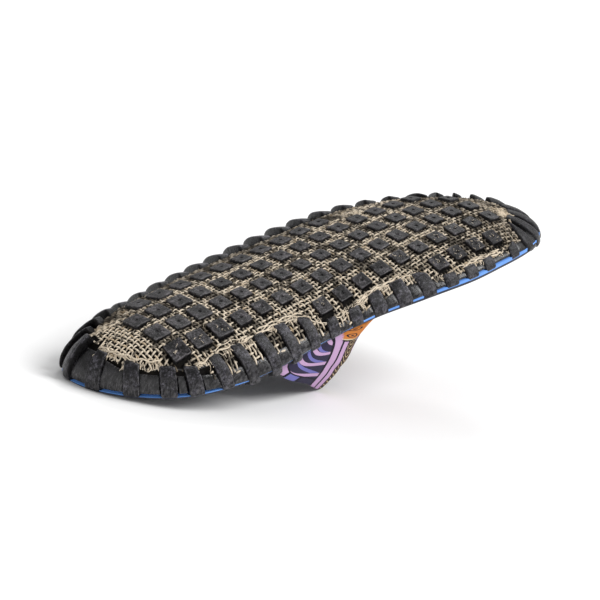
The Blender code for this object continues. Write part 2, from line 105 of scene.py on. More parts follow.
REACH = (
    (-130.0, 0.76, 0.70),
    (-124.0, 0.86, 0.66),
    (-116.0, 0.92, 0.63),
    (-108.0, 0.94, 0.61),
    (-102.0, 0.975, 0.60),
    (-97.0, 0.95, 0.60),
    (-91.0, 0.90, 0.60),
    (-82.0, 0.84, 0.60),
    (-70.0, 0.79, 0.60),
    (-30.0, 0.78, 0.64),
    (-16.0, 0.94, 0.65),
    (-8.0, 0.94, 0.66),
    (4.0, 0.89, 0.66),
    (20.0, 0.82, 0.67),
    (42.0, 0.80, 0.70),
    (50.0, 0.94, 0.71),
    (60.0, 0.94, 0.72),
    (98.0, 0.92, 0.76),
    (120.0, 0.80, 0.72),
    (150.0, 0.70, 0.68),
)
LIP = 3.2
BED_EDGE_HEEL, BED_EDGE_TOE = 4.6, 6.2
RIB_STOP_HEEL, RIB_STOP_TOE = 1.2, 3.6
FLANGE_IN = 0.9
PANEL_LIP = 0.6
BED_ROUND = 0.6
CUP_HEEL, CUP_TOE = 3.0, 1.2
BED_SEAT = 2.2
ARCH_PAD, ARCH_PAD_AT, ARCH_PAD_SPREAD = 2.0, -18.0, 34.0

STRAP_THICK = 3.0
STRAP_FOOT_GAP = 0.5
STRAP_LONG_STEPS, STRAP_WIDE_STEPS = 32, 6
STRAP_COLUMNS = ("along", "rear_x", "rear_y", "rear_h",
                 "front_x", "front_y", "front_h", "bulge")
STRAP = (
    (-1.00, -46.5, 29.0, 0.0, -6.0, 30.5, 0.0, 0.0),
    (-0.80, -37.0, 26.5, 12.0, 3.0, 32.5, 2.4, 0.5),
    (-0.60, -20.5, 18.5, 28.5, 8.0, 33.0, 3.2, 1.0),
    (-0.42, 3.5, 6.0, 47.0, 11.0, 32.5, 4.0, 1.0),
    (-0.22, 25.0, 7.0, 25.0, 30.0, 28.5, 6.0, 1.0),
    (0.00, 60.0, 14.5, 15.0, 92.0, 20.0, 10.5, 0.5),
    (0.22, 33.0, -7.5, 29.0, 42.0, -31.0, 10.0, 2.0),
    (0.42, 9.0, -18.0, 50.0, 22.0, -44.0, 7.5, 2.5),
    (0.60, -10.0, -36.0, 31.0, 14.0, -50.0, 5.0, 1.5),
    (0.80, -25.0, -49.5, 13.0, 10.0, -52.5, 3.0, 0.5),
    (1.00, -34.0, -54.0, 0.0, 4.0, -53.5, 0.0, 0.0),
)
POST_X, POST_Y = 85.5, 18.8
POST_LONG, POST_WIDE, POST_FLARE = 10.0, 7.0, 1.35
POST_CLEAR = 1.0

# ------------------------------------------------------------- sizes of the detail
RIB_ROUND = 1.1                # corner radius of a rib seen from above
RIB_SINK = 3.3                 # rib and plate walls run this deep into the base
RIB_WRAP = 0.25                # heel and waist ribs lap the footbed edge down to this
# Rib ends over the footbed top, and how far medial ribs hang past it
RIB_END_COLUMNS = ("x", "drop", "over")
RIB_END = (
    (-130.0, 0.25, 0.0),
    (-88.0, 0.25, 0.0),
    (-80.0, 0.25, 0.4),
    (-66.0, 0.25, 2.8),
    (-52.0, 0.25, 3.4),
    (-36.0, 0.25, 1.8),
    (-18.0, 0.25, 0.4),
    (-4.0, 0.25, 0.0),
    (38.0, 0.25, 0.0),
    (50.0, 1.6, 0.0),
    (110.0, 1.5, 0.0),
    (124.0, 0.25, 0.9),
    (136.0, 0.25, 1.6),
    (150.0, 0.25, 1.6),
)
RIB_LEAN, RIB_LEAN_FROM, RIB_LEAN_TO = 3.4, -112.0, -14.0   # medial ribs slant to the toe
LATERAL_LIFT = 0.6             # ribs of the lateral side stand this much prouder,
LATERAL_TIP = 0.85             # their edge to the heel more and the other one less, like shingles,
LATERAL_LEAN = 5.0             # and they slant to the toe
WEAVE_DEPTH = 2.05             # backing of the weave, under the lug tops
NOTCH_DEPTH, OPEN_DEPTH = 3.3, 4.8   # notch over each heel plate, and the open lateral gaps
PLATE_DEPTH, PLATE_END_DEPTH = 1.35, 0.45    # glossy plates between ribs, at top and foot
OPEN_PLATE_DEPTH, OPEN_END_DEPTH = 2.6, 1.7  # the same where the gaps are open
# Plates start this far down the shoulder and end this far over the footbed top
PLATE_COLUMNS = ("x", "medial", "lateral", "end")
PLATE = (
    (-130.0, 0.16, 0.16, 2.0),
    (-126.0, 0.20, 0.20, 2.0),
    (-121.0, 0.40, 0.34, 2.0),
    (-113.0, 0.41, 0.66, 2.0),
    (-105.0, 0.42, 0.74, 2.0),
    (-95.0, 0.46, 0.74, 2.0),
    (-84.0, 0.54, 0.74, 1.7),
    (-74.0, 0.54, 0.74, 0.9),
    (-66.0, 0.53, 0.74, 0.35),
    (-20.0, 0.50, 0.74, 0.35),
    (-6.0, 0.42, 0.74, 0.35),
    (10.0, 0.34, 0.74, 1.6),
    (40.0, 0.26, 0.74, 2.4),
    (60.0, 0.12, 0.70, 3.6),
    (106.0, 0.12, 0.60, 3.5),
    (116.0, 0.30, 0.50, 1.8),
    (123.0, 0.40, 0.50, 0.25),
    (150.0, 0.50, 0.50, 0.3),
)

# Slack of the medial leg: how far its crest stands out, from rear to front edge
CREST_COLUMNS = ("across", "out")
CREST_FULL = ((0.0, 3.0), (0.25, 3.4), (0.5, 1.8), (0.75, -1.2), (1.0, 0.0))
DRAWN_BACK = 5.0               # the rear edge drawn back above the medial anchor

THREAD_PITCH, THREAD_WIDE, THREAD_HIGH = 2.1, 0.90, 0.74
THREAD_STEPS = 4               # points from one crossing to the next
THREAD_WAVE, THREAD_LIFT = 0.34, 0.40
TUFT = (121.0, 24.0)           # matted fibres near the toe
FIBRE_LUGS = ((-2, 0), (-1, 0), (0, 0), (4, 1), (8, 1), (9, 2), (10, 2), (11, 2), (12, 2), (10, 1), (11, 1), (12, 1))

# Where the camera of the photograph stands, in the frame of the shoe
VIEW_RIGHT = (0.6906, 0.7232, -0.0047)
VIEW_DOWN = (-0.3394, 0.3298, 0.8809)
VIEW_AHEAD = (0.6386, -0.6068, 0.4732)
VIEW_SHIFT = (2.57, -18.33, 1168.24)
FOCAL_PIXELS, FRAME_PIXELS = 2400.0, 600.0


# --------------------------------------------------------------------- plain tools
def column(table, names, name, at):
    key = [row[0] for row in table]
    val = [row[names.index(name)] for row in table]
    at = min(max(at, key[0]), key[-1])
    k = max(i for i in range(len(key) - 1) if key[i] <= at)
    span = key[k + 1] - key[k]
    u = (at - key[k]) / span

    def slope(i):
        a, b = max(i - 1, 0), min(i + 1, len(key) - 1)
        return (val[b] - val[a]) / (key[b] - key[a]) * span

    u2, u3 = u * u, u * u * u
    return ((2 * u3 - 3 * u2 + 1) * val[k] + (u3 - 2 * u2 + u) * slope(k)
            + (3 * u2 - 2 * u3) * val[k + 1] + (u3 - u2) * slope(k + 1))


def smooth(u):
    u = np.clip(u, 0.0, 1.0)
    return u * u * (3.0 - 2.0 * u)


def blend(heel, toe, x):
    return heel + (toe - heel) * smooth((x - HEEL_X) / (TOE_X - HEEL_X))


def spine_y(x):
    return HEEL_Y + (TOE_Y - HEEL_Y) * np.clip((x - HEEL_X) / (TOE_X - HEEL_X), 0.0, 1.0)


def edge_y(x, side):
    f = min(max((x - HEEL_X) / (TOE_X - HEEL_X), 0.0), 1.0)
    full = column(FULLNESS, FULLNESS_COLUMNS, "medial" if side > 0 else "lateral", f)
    return spine_y(x) + side * full * 2.0 * math.sqrt(f * (1.0 - f))


def tread_line(x):
    spring = TOE_SPRING * (np.maximum(x - TOE_SPRING_FROM, 0.0) / TOE_SPRING_RUN) ** 2
    return spring + ARCH_RISE * np.exp(-((x - ARCH_AT) / ARCH_SPREAD) ** 2)


def rim_rise(x):
    a, b = RIM_FALL
    rise = RIM_BALL + (RIM_HEEL - RIM_BALL) * smooth((a - x) / (a - b))
    tuck = HEEL_TUCK * np.maximum((HEEL_X + HEEL_TUCK_RUN - x) / HEEL_TUCK_RUN, 0.0) ** 2
    return rise - tuck - ARCH_RISE * np.exp(-((x - ARCH_AT) / ARCH_SPREAD) ** 2)


def rim_z(x):
    return tread_line(x) + rim_rise(x)


def crown(s, power):
    s = np.clip(s, 0.0, 1.0)
    return 1.0 - (1.0 - s ** power) ** (1.0 / power)


def bed_edge(x):
    return blend(BED_EDGE_HEEL, BED_EDGE_TOE, x)


def rib_stop(x):
    return blend(RIB_STOP_HEEL, RIB_STOP_TOE, x)


# outline of the sole, sampled finely once
LINE_X = 0.5 * (HEEL_X + TOE_X) - 0.5 * (TOE_X - HEEL_X) * np.cos(np.linspace(0.0, math.pi, 4001))
LINE_Y = {side: np.array([edge_y(x, side) for x in LINE_X]) for side in (1, -1)}
POWER_LINE = {side: np.array([column(CROWN, CROWN_COLUMNS, name, x) for x in LINE_X])
              for side, name in ((1, "medial"), (-1, "lateral"))}
# as shown, the gaps between the lateral heel ribs settle a little under the solid shoulder
SETTLED_COLUMNS = ("x", "medial", "lateral")
SETTLED = (
    (-130.0, 2.3, 2.3),
    (-125.0, 3.0, 1.92),
    (-119.0, 3.4, 1.76),
    (-110.0, 3.3, 1.78),
    (-97.0, 3.0, 1.88),
    (-83.0, 2.4, 1.98),
    (-65.0, 2.15, 2.06),
    (-50.0, 2.15, 2.15),
    (150.0, 2.15, 2.15),
)
SHOWN_POWER = {side: np.array([column(SETTLED, SETTLED_COLUMNS, name, x) for x in LINE_X])
               for side, name in ((1, "medial"), (-1, "lateral"))}
REACH_LINE = {side: np.array([column(REACH, REACH_COLUMNS, name, x) for x in LINE_X])
              for side, name in ((1, "medial"), (-1, "lateral"))}


def edge_at(x, side):
    return np.interp(x, LINE_X, LINE_Y[side])


def share_at(x, y):
    """How far plan points lie from the spine (0) to the outline (1)."""
    ax = np.clip(x, END_HEEL_X, END_TOE_X)
    ay = spine_y(ax)
    dx, dy = x - ax, y - ay
    low, high = np.full(x.shape, 1e-3), np.full(x.shape, 3.0)
    for _ in range(28):
        mid = 0.5 * (low + high)
        px, py = ax + dx / mid, ay + dy / mid
        inside = (px > HEEL_X) & (px < TOE_X) & (py > edge_at(px, -1)) & (py < edge_at(px, 1))
        high = np.where(inside, mid, high)
        low = np.where(inside, low, mid)
    return high


def shown_cap(x, side):
    """Ribs are shown at least this long, past the short roots that the solids leave by lugs."""
    if side < 0:
        return float(1.0 - 0.40 * smooth((x - 90.0) / 22.0))
    return float(0.905 + 0.02 * smooth((-84.0 - x) / 10.0) - 0.305 * smooth((x - 112.0) / 16.0))


CAP_LINE = {side: np.array([shown_cap(x, side) for x in LINE_X]) for side in (1, -1)}


def reach_at(x, y):
    """Share at which the ribs begin."""
    medial = y > spine_y(np.clip(x, END_HEEL_X, END_TOE_X))
    return np.where(medial, np.interp(x, LINE_X, np.minimum(REACH_LINE[1], CAP_LINE[1])),
                    np.interp(x, LINE_X, np.minimum(REACH_LINE[-1], CAP_LINE[-1])))


class Field:
    """Sole surfaces on a fine plan grid, read back by bilinear steps."""

    def __init__(self, step=0.5):
        self.step, self.x0, self.y0 = step, HEEL_X - 6.0, -76.0
        gx = np.arange(self.x0, TOE_X + 6.0, step)
        gy = np.arange(self.y0, 76.0, step)
        x, y = np.meshgrid(gx, gy, indexing="ij")
        self.share = share_at(x, y)
        ax = np.clip(x, END_HEEL_X, END_TOE_X)
        rim_x = ax + (x - ax) / np.maximum(self.share, 1e-3)
        power = np.where(y > spine_y(ax), np.interp(rim_x, LINE_X, SHOWN_POWER[1]),
                         np.interp(rim_x, LINE_X, SHOWN_POWER[-1]))
        self.tread = tread_line(x) + rim_rise(x) * crown(np.minimum(self.share, 0.97), power)
        slope_x, slope_y = np.gradient(self.tread, step)
        size = np.sqrt(slope_x ** 2 + slope_y ** 2 + 1.0)
        self.nx, self.ny, self.nz = -slope_x / size, -slope_y / size, 1.0 / size
        self.ground = self.tread + WEAVE_DEPTH / np.maximum(self.nz, STEEPEST)

    def read(self, grid, x, y):
        u = np.clip((x - self.x0) / self.step, 0.0, grid.shape[0] - 1.001)
        v = np.clip((y - self.y0) / self.step, 0.0, grid.shape[1] - 1.001)
        i, j = u.astype(int), v.astype(int)
        a, b = u - i, v - j
        return ((grid[i, j] * (1 - a) + grid[i + 1, j] * a) * (1 - b)
                + (grid[i, j + 1] * (1 - a) + grid[i + 1, j + 1] * a) * b)

    def normal(self, x, y):
        n = np.stack([self.read(g, x, y) for g in (self.nx, self.ny, self.nz)], -1)
        return n / np.linalg.norm(n, axis=-1, keepdims=True)


field = Field()


# ------------------------------------------------------------------ path of the rim
class Rim:
    """The outline as one closed path: medial heel to toe, then lateral back."""

    def __init__(self):
        x = np.concatenate([LINE_X, LINE_X[::-1][1:]])
        y = np.concatenate([LINE_Y[1], LINE_Y[-1][::-1][1:]])
        self.x, self.y = x, y
        self.d = np.concatenate([[0.0], np.cumsum(np.hypot(np.diff(x), np.diff(y)))])
        self.long = self.d[-1]
        self.turn = len(LINE_X) - 1

    def at(self, d):
        d = np.mod(d, self.long)
        return float(np.interp(d, self.d, self.x)), float(np.interp(d, self.d, self.y))

    def of(self, x, side):
        if side > 0:
            return float(np.interp(x, LINE_X, self.d[:self.turn + 1]))
        return float(np.interp(x, LINE_X, self.d[self.turn:][::-1]))


rim = Rim()


def ribs_round():
    """(middle, half width, kind) of every rib along the rim path, in order."""
    out = []
    for side in (1, -1):
        for i in SIDE_RIB_COLUMNS:
            c = (i - LUG_COLUMN_AT) * LUG_PITCH
            a, b = rim.of(c - 0.5 * RIB_WIDE, side), rim.of(c + 0.5 * RIB_WIDE, side)
            out.append((0.5 * (a + b), 0.5 * abs(b - a), "side"))
    for kind, places, wide in (("toe", TOE_RIB_AT, RIB_WIDE), ("heel", HEEL_RIB_AT, RIB_WIDE_HEEL)):
        first = (max(SIDE_RIB_COLUMNS) if kind == "toe" else min(SIDE_RIB_COLUMNS)) - LUG_COLUMN_AT
        a, b = rim.of(first * LUG_PITCH, 1), rim.of(first * LUG_PITCH, -1)
        if kind == "heel":
            b -= rim.long
        out += [((a + (b - a) * k) % rim.long, 0.5 * wide, kind) for k in places]
    return sorted(out)


RIBS = ribs_round()


class Section:
    """One upright cut from the spine to a point of the outline."""

    def __init__(self, x, y, power=SHOWN_POWER):
        self.x, self.y = x, y
        ax = min(max(x, END_HEEL_X), END_TOE_X)
        ay = float(spine_y(ax))
        self.anchor = (ax, ay)
        self.reach = math.hypot(x - ax, y - ay)
        self.dir = ((x - ax) / self.reach, (y - ay) / self.reach)
        self.rise = float(rim_rise(x))
        self.side = 1 if y > ay else -1
        self.power = float(np.interp(x, LINE_X, power[self.side]))
        self.root = float(np.interp(x, LINE_X, REACH_LINE[self.side]))
        self.start = min(self.root, shown_cap(x, self.side))

    def place(self, out, z):
        return (self.anchor[0] + self.dir[0] * out, self.anchor[1] + self.dir[1] * out, z)

    def lifted(self, out):
        return float(tread_line(self.anchor[0] + self.dir[0] * out))

    def raw(self, a):
        power = 2.0 / self.power
        a = min(max(a, 1e-4), 0.5 * math.pi - 1e-4)
        return (self.reach * math.sin(a) ** power, self.rise * (1.0 - math.cos(a) ** power))

    def shell(self, turn, depth, lean=1.0):
        (o0, z0), (o1, z1) = self.raw(turn - 0.002), self.raw(turn + 0.002)
        length = math.hypot(o1 - o0, z1 - z0)
        flat, steep = (o1 - o0) / length, (z1 - z0) / length
        out, z = self.raw(turn)
        out -= depth * steep * lean
        z += depth * (flat * lean + (1.0 - lean) / max(flat, STEEPEST))
        return self.place(out, z + self.lifted(out))

    def turn_at_share(self, s):
        return math.asin(min(s, 1.0) ** (0.5 * self.power))

    def turn_below_rim(self, drop):
        return math.acos((drop / self.rise) ** (0.5 * self.power))


# -------------------------------------------------------------------- resting pose
def strap_row(t):
    v = {n: column(STRAP, STRAP_COLUMNS, n, t) for n in STRAP_COLUMNS[1:]}
    rear = Vector((v["rear_x"], v["rear_y"], float(rim_z(v["rear_x"])) + v["rear_h"]))
    front = Vector((v["front_x"], v["front_y"], float(rim_z(v["front_x"])) + v["front_h"]))
    return rear, front, v["bulge"]


def rim_stations():
    """Rib and gap edges round the rim, as on the solids: (x, y, rib or not)."""
    out = []
    for side in (1, -1):
        for i in SIDE_RIB_COLUMNS:
            c = (i - LUG_COLUMN_AT) * LUG_PITCH
            for d in (-0.5 * (RIB_WIDE + RIB_DRAFT), -0.5 * (RIB_WIDE - RIB_DRAFT),
                      0.5 * (RIB_WIDE - RIB_DRAFT), 0.5 * (RIB_WIDE + RIB_DRAFT)):
                out.append((c + d, edge_y(c + d, side), abs(d) < 0.5 * RIB_WIDE))
    for mid, half, kind in RIBS:
        if kind != "side":
            for d in (-half - 0.5 * RIB_DRAFT, -half + 0.5 * RIB_DRAFT,
                      half - 0.5 * RIB_DRAFT, half + 0.5 * RIB_DRAFT):
                out.append(rim.at(mid + d) + (abs(d) < half,))
    return out


def rest_frame():
    """Floor under the heel edge and the two crests of the strap, shoe turned over."""
    low = []
    for x, y, rib in rim_stations():
        s = Section(x, y, POWER_LINE)
        top = float(rim_z(x))
        low.append(s.place(s.reach - FLANGE_IN, top - BED_ROUND))
        low.append(s.place(s.reach - FLANGE_IN - BED_ROUND, top))
        stop = float(rib_stop(x)) if rib else float(bed_edge(x)) - PANEL_LIP
        first, last = s.turn_at_share(s.root), s.turn_below_rim(stop)
        for k in range(SHOULDER_STEPS + 1):
            u = k / SHOULDER_STEPS
            bend = first + (last - first) * u
            if rib:
                low.append(s.shell(bend, 0.0))
            else:
                depth = LUG_HIGH + (RIB_RECESS - LUG_HIGH) * float(smooth(1.6 * u))
                low.append(s.shell(bend + 0.04 * (1.0 - u) ** 2, depth, float(smooth(1.4 * u))))
    low = np.array(low)
    band = np.array(strap_points(STRAP_LONG_STEPS, STRAP_WIDE_STEPS)[0])
    heel = low[low[:, 0] < END_HEEL_X]
    spine = spine_y(band[:, 0])
    medial, lateral = band[band[:, 1] > spine], band[band[:, 1] <= spine]
    up = np.array([0.3, 0.0, -1.0])
    for _ in range(30):
        touch = [g[np.argmin(g @ up)] for g in (heel, medial, lateral)]
        up = np.cross(touch[1] - touch[0], touch[2] - touch[0])
        up = up / np.linalg.norm(up)
        up = up if up[2] < 0 else -up
    toe = np.array([TOE_X - HEEL_X, TOE_Y - HEEL_Y, 0.0])
    ahead = toe - up * (toe @ up)
    ahead = ahead / np.linalg.norm(ahead)
    turn = np.stack([ahead, np.cross(up, ahead), up])
    every = np.concatenate([low, band]) @ turn.T
    low_c, high_c = every.min(0), every.max(0)
    return turn, -np.array([0.5 * (low_c[0] + high_c[0]), 0.5 * (low_c[1] + high_c[1]), low_c[2]])


def strap_points(n, m, thick=STRAP_THICK):
    """Outer and inner points of the strap, row after row from the medial anchor."""
    face = []
    for a in range(n + 1):
        rear, front, bulge = strap_row(-1.0 + 2.0 * a / n)
        row = []
        for b in range(m + 1):
            w = b / m
            p = rear.lerp(front, w)
            out = Vector((0.25, p.y - float(spine_y(p.x)), 26.0)).normalized()
            row.append(np.array(p + out * (bulge * 4.0 * w * (1.0 - w))))
        face.append(row)
    face = np.array(face)
    along = np.empty_like(face)
    along[1:-1] = face[2:] - face[:-2]
    along[0], along[-1] = face[1] - face[0], face[-1] - face[-2]
    across = np.empty_like(face)
    across[:, 1:-1] = face[:, 2:] - face[:, :-2]
    across[:, 0], across[:, -1] = face[:, 1] - face[:, 0], face[:, -1] - face[:, -2]
    up = np.cross(across, along)
    up /= np.linalg.norm(up, axis=-1, keepdims=True)
    if up[n // 2, m // 2, 2] < 0:
        up = -up
    up[0], up[-1] = (0.0, 1.0, 0.0), (0.0, -1.0, 0.0)
    edge = np.zeros(m + 1)
    edge[0] = edge[-1] = 0.35 * thick
    outer = face - up * edge[None, :, None]
    inner = face - up * (thick - edge)[None, :, None]
    return (np.concatenate([outer, inner]).reshape(-1, 3).tolist(), face, up)


turn, shift = rest_frame()


def to_floor(pts):
    return (np.asarray(pts, float) @ turn.T + shift) * MM


# ------------------------------------------------------------------- mesh building
class Build:
    """Points, faces and point marks of one piece."""

    def __init__(self, *marks):
        self.pts, self.faces, self.count = [], [], 0
        self.marks = {m: [] for m in marks}

    def add(self, pts, faces, **marks):
        pts = np.asarray(pts, float).reshape(-1, 3)
        self.pts.append(pts)
        self.faces += [tuple(i + self.count for i in f) for f in faces]
        for name in self.marks:
            v = np.broadcast_to(np.asarray(marks.get(name, 0.0), float).reshape(-1), (len(pts),)) \
                if np.size(marks.get(name, 0.0)) in (1, len(pts)) else None
            self.marks[name].append(np.array(v))
        self.count += len(pts)

    def piece(self, name, mats, rough_angle=40.0, weld=0.0):
        mesh = bpy.data.meshes.new(name)
        mesh.from_pydata(to_floor(np.concatenate(self.pts)).tolist(), [], self.faces)
        own = np.concatenate(self.pts)
        place = mesh.attributes.new("shoe", "FLOAT_VECTOR", "POINT")
        place.data.foreach_set("vector", own.astype(np.float32).reshape(-1))
        for m, v in self.marks.items():
            mesh.attributes.new(m, "FLOAT", "POINT").data.foreach_set(
                "value", np.concatenate(v).astype(np.float32))
        mesh.validate()
        obj = bpy.data.objects.new(name, mesh)
        bpy.context.scene.collection.objects.link(obj)
        for m in mats:
            mesh.materials.append(m)
        tidy(mesh, weld)
        mesh.shade_smooth()
        if rough_angle:
            mesh.set_sharp_from_angle(angle=math.radians(rough_angle))
        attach(obj, "root")
        return obj


def tidy(mesh, weld):
    import bmesh
    bm = bmesh.new()
    bm.from_mesh(mesh)
    if weld:
        bmesh.ops.remove_doubles(bm, verts=bm.verts[:], dist=weld * MM)
        bmesh.ops.dissolve_degenerate(bm, edges=bm.edges[:], dist=1e-6)
    bmesh.ops.recalc_face_normals(bm, faces=bm.faces[:])
    bm.to_mesh(mesh)
    bm.free()


def grid_faces(rows, cols, closed=False, start=0):
    out = []
    for r in range(rows - 1):
        for c in range(cols if closed else cols - 1):
            n = (c + 1) % cols
            out.append((start + r * cols + c, start + r * cols + n,
                        start + (r + 1) * cols + n, start + (r + 1) * cols + c))
    return out


def closed_patch(rows, cols):
    """Faces of a raised patch of rows x cols points, shut underneath by strips."""
    faces = grid_faces(rows, cols)
    for r in range(rows - 1):
        faces.append((r * cols, (r + 1) * cols, (r + 1) * cols + cols - 1, r * cols + cols - 1))
    faces.append(tuple(range(cols)))
    faces.append(tuple((rows - 1) * cols + c for c in reversed(range(cols))))
    return faces


def wobble(x, seed, size, scale):
    """Smooth seeded wander along x."""
    rng = np.random.default_rng(seed)
    out = np.zeros_like(x)
    for k in range(4):
        out += np.sin(x * (2.0 * math.pi / (scale * (0.6 + 0.5 * k))) + rng.uniform(0, 6.28)) / (1.0 + k)
    return out * size / 1.6


# ------------------------------------------------------------------------ materials
def new_mat(name):
    mat = bpy.data.materials.new(name)
    mat.use_nodes = True
    tree = mat.node_tree
    return mat, tree, tree.nodes["Principled BSDF"]


def node(tree, kind, **values):
    n = tree.nodes.new(kind)
    for k, v in values.items():
        if k in n.inputs:
            n.inputs[k].default_value = v
        else:
            setattr(n, k, v)
    return n


def math_of(tree, op, a, b=None, c=None, clamp=False):
    n = tree.nodes.new("ShaderNodeMath")
    n.operation, n.use_clamp = op, clamp
    for k, v in enumerate((a, b, c)):
        if v is None:
            continue
        if isinstance(v, (int, float)):
            n.inputs[k].default_value = v
        else:
            tree.links.new(v, n.inputs[k])
    return n.outputs[0]


def ramp(tree, value, stops, kind="LINEAR"):
    n = tree.nodes.new("ShaderNodeValToRGB")
    n.color_ramp.interpolation = kind
    while len(n.color_ramp.elements) < len(stops):
        n.color_ramp.elements.new(0.5)
    for e, (at, colour) in zip(n.color_ramp.elements, stops):
        e.position, e.color = at, tuple(colour) + (1.0,)
    tree.links.new(value, n.inputs[0])
    return n.outputs[0]


def mix(tree, share_socket, a, b, kind="MIX"):
    n = tree.nodes.new("ShaderNodeMix")
    n.data_type, n.blend_type = "RGBA", kind
    n.clamp_factor = True
    for slot, v in ((0, share_socket), (6, a), (7, b)):
        if isinstance(v, (int, float)):
            n.inputs[slot].default_value = v
        elif isinstance(v, tuple):
            n.inputs[slot].default_value = v + (1.0,)
        else:
            tree.links.new(v, n.inputs[slot])
    return n.outputs[2]


def noise(tree, where, scale, detail=3.0, rough=0.55):
    n = node(tree, "ShaderNodeTexNoise", Scale=scale, Detail=detail, Roughness=rough)
    tree.links.new(where, n.inputs["Vector"])
    return n.outputs["Fac"]


def spread(tree, value, low, high, to_low=0.0, to_high=1.0):
    n = node(tree, "ShaderNodeMapRange")
    for k, v in (("From Min", low), ("From Max", high), ("To Min", to_low), ("To Max", to_high)):
        n.inputs[k].default_value = v
    tree.links.new(value, n.inputs["Value"])
    return n.outputs[0]


def mark(tree, name, vector=False):
    n = node(tree, "ShaderNodeAttribute", attribute_name=name)
    return n.outputs["Vector"] if vector else n.outputs["Fac"]


def scaled(tree, vector, by):
    n = node(tree, "ShaderNodeVectorMath", operation="MULTIPLY")
    tree.links.new(vector, n.inputs[0])
    n.inputs[1].default_value = by
    return n.outputs[0]


def bumped(tree, shader, height, strength, distance):
    n = node(tree, "ShaderNodeBump", Strength=strength, Distance=distance)
    tree.links.new(height, n.inputs["Height"])
    tree.links.new(n.outputs[0], shader.inputs["Normal"])


def rubber(name, dark, pale, rough, shine, gloss_mix=0.18, wear_and_sheen_amount=0.35, grain_size=0.6):
    mat, tree, shader = new_mat(name)
    at = mark(tree, "shoe", True)
    cloud = noise(tree, at, 0.24, 4.0, 0.6)
    grain = noise(tree, at, 0.85, 5.0, 0.74)
    fine = noise(tree, at, 2.2, 3.0, 0.65)
    scuff = noise(tree, scaled(tree, at, (0.5, 2.0, 0.5)), 0.7, 5.0, 0.7)
    tone = math_of(tree, "MULTIPLY_ADD", grain, 0.45, math_of(tree, "MULTIPLY_ADD", fine, 0.20,
                                                             math_of(tree, "MULTIPLY", cloud, 0.35)))
    colour = ramp(tree, tone, ((0.46, dark), (0.52, tuple(0.20 * a + 0.80 * b for a, b in zip(pale, dark))),
                               (0.59, pale)))
    # edge mark: below 0 painted shade on walls and in hollows; above 0 edge wear with painted highlight and painted
    # sheen
    edge = mark(tree, "edge")
    # painted shade: where the edge mark is below 0 the colour is mixed towards near-black
    wall_shade = math_of(tree, "MULTIPLY", edge, -0.9, clamp=True)
    colour = mix(tree, wall_shade, colour, (0.0012, 0.0010, 0.0012))
    # edge wear with painted highlight and painted sheen: where the edge mark is above 0 the colour is lightened towards
    # grey, broken up by the scuff noise
    wear_and_painted_sheen = math_of(tree, "MULTIPLY", spread(tree, scuff, 0.44, 0.66), math_of(tree, "MAXIMUM", edge, 0.0))
    wear_and_painted_sheen = math_of(tree, "MULTIPLY", wear_and_painted_sheen, wear_and_sheen_amount)
    colour = mix(tree, wear_and_painted_sheen, colour, (0.26, 0.25, 0.26))
    tree.links.new(colour, shader.inputs["Base Color"])
    gloss = math_of(tree, "MULTIPLY_ADD", spread(tree, scuff, 0.35, 0.7), gloss_mix, rough)
    tree.links.new(gloss, shader.inputs["Roughness"])
    height = math_of(tree, "MULTIPLY_ADD", grain, 0.75, math_of(tree, "MULTIPLY", fine, 0.25))
    bumped(tree, shader, height, grain_size, 0.0005)
    shader.inputs["Specular IOR Level"].default_value = shine
    return mat


def jute(name, cream, tan, brown):
    mat, tree, shader = new_mat(name)
    at = mark(tree, "shoe", True)
    tint, stain = mark(tree, "tint"), mark(tree, "stain")
    cloud = noise(tree, at, 0.35, 3.0, 0.6)
    fibre = noise(tree, at, 4.5, 4.0, 0.7)
    tone = math_of(tree, "MULTIPLY_ADD", cloud, 0.55, math_of(tree, "MULTIPLY", tint, 0.55))
    colour = ramp(tree, tone, ((0.18, tan), (0.62, cream)))
    colour = mix(tree, spread(tree, fibre, 0.34, 0.56, 0.6, 0.0), colour, brown)
    # smeared rubber and painted shade darken the threads towards near-black
    colour = mix(tree, stain, colour, (0.016, 0.013, 0.011))
    tree.links.new(colour, shader.inputs["Base Color"])
    shader.inputs["Roughness"].default_value = 0.92
    shader.inputs["Specular IOR Level"].default_value = 0.2
    bumped(tree, shader, fibre, 0.6, 0.0003)
    return mat


def foam(name, body, pale):
    mat, tree, shader = new_mat(name)
    at = mark(tree, "shoe", True)
    cloud = noise(tree, at, 0.12, 3.0)
    cell = node(tree, "ShaderNodeTexVoronoi", Scale=2.2)
    tree.links.new(at, cell.inputs["Vector"])
    colour = ramp(tree, cloud, ((0.3, body), (0.75, pale)))
    trim = mark(tree, "trim")
    colour = mix(tree, trim, colour, (0.010, 0.014, 0.034))
    tree.links.new(colour, shader.inputs["Base Color"])
    shader.inputs["Roughness"].default_value = 0.5
    bumped(tree, shader, cell.outputs["Distance"], 0.25, 0.0002)
    return mat


def canvas_height(tree, at_mm):
    """Plain weave of the cloth, as bump."""
    sep = node(tree, "ShaderNodeSeparateXYZ")
    tree.links.new(at_mm, sep.inputs[0])
    u = math_of(tree, "SINE", math_of(tree, "MULTIPLY", sep.outputs[0], 9.0))
    v = math_of(tree, "SINE", math_of(tree, "MULTIPLY", sep.outputs[1], 9.0))
    return math_of(tree, "MULTIPLY", u, v)


NAVY, INK = (0.024, 0.021, 0.050), (0.006, 0.005, 0.012)
LAVENDER, LILAC = (0.17, 0.165, 0.46), (0.57, 0.37, 0.59)
ORANGE, CREAM = (0.62, 0.21, 0.035), (0.74, 0.60, 0.36)


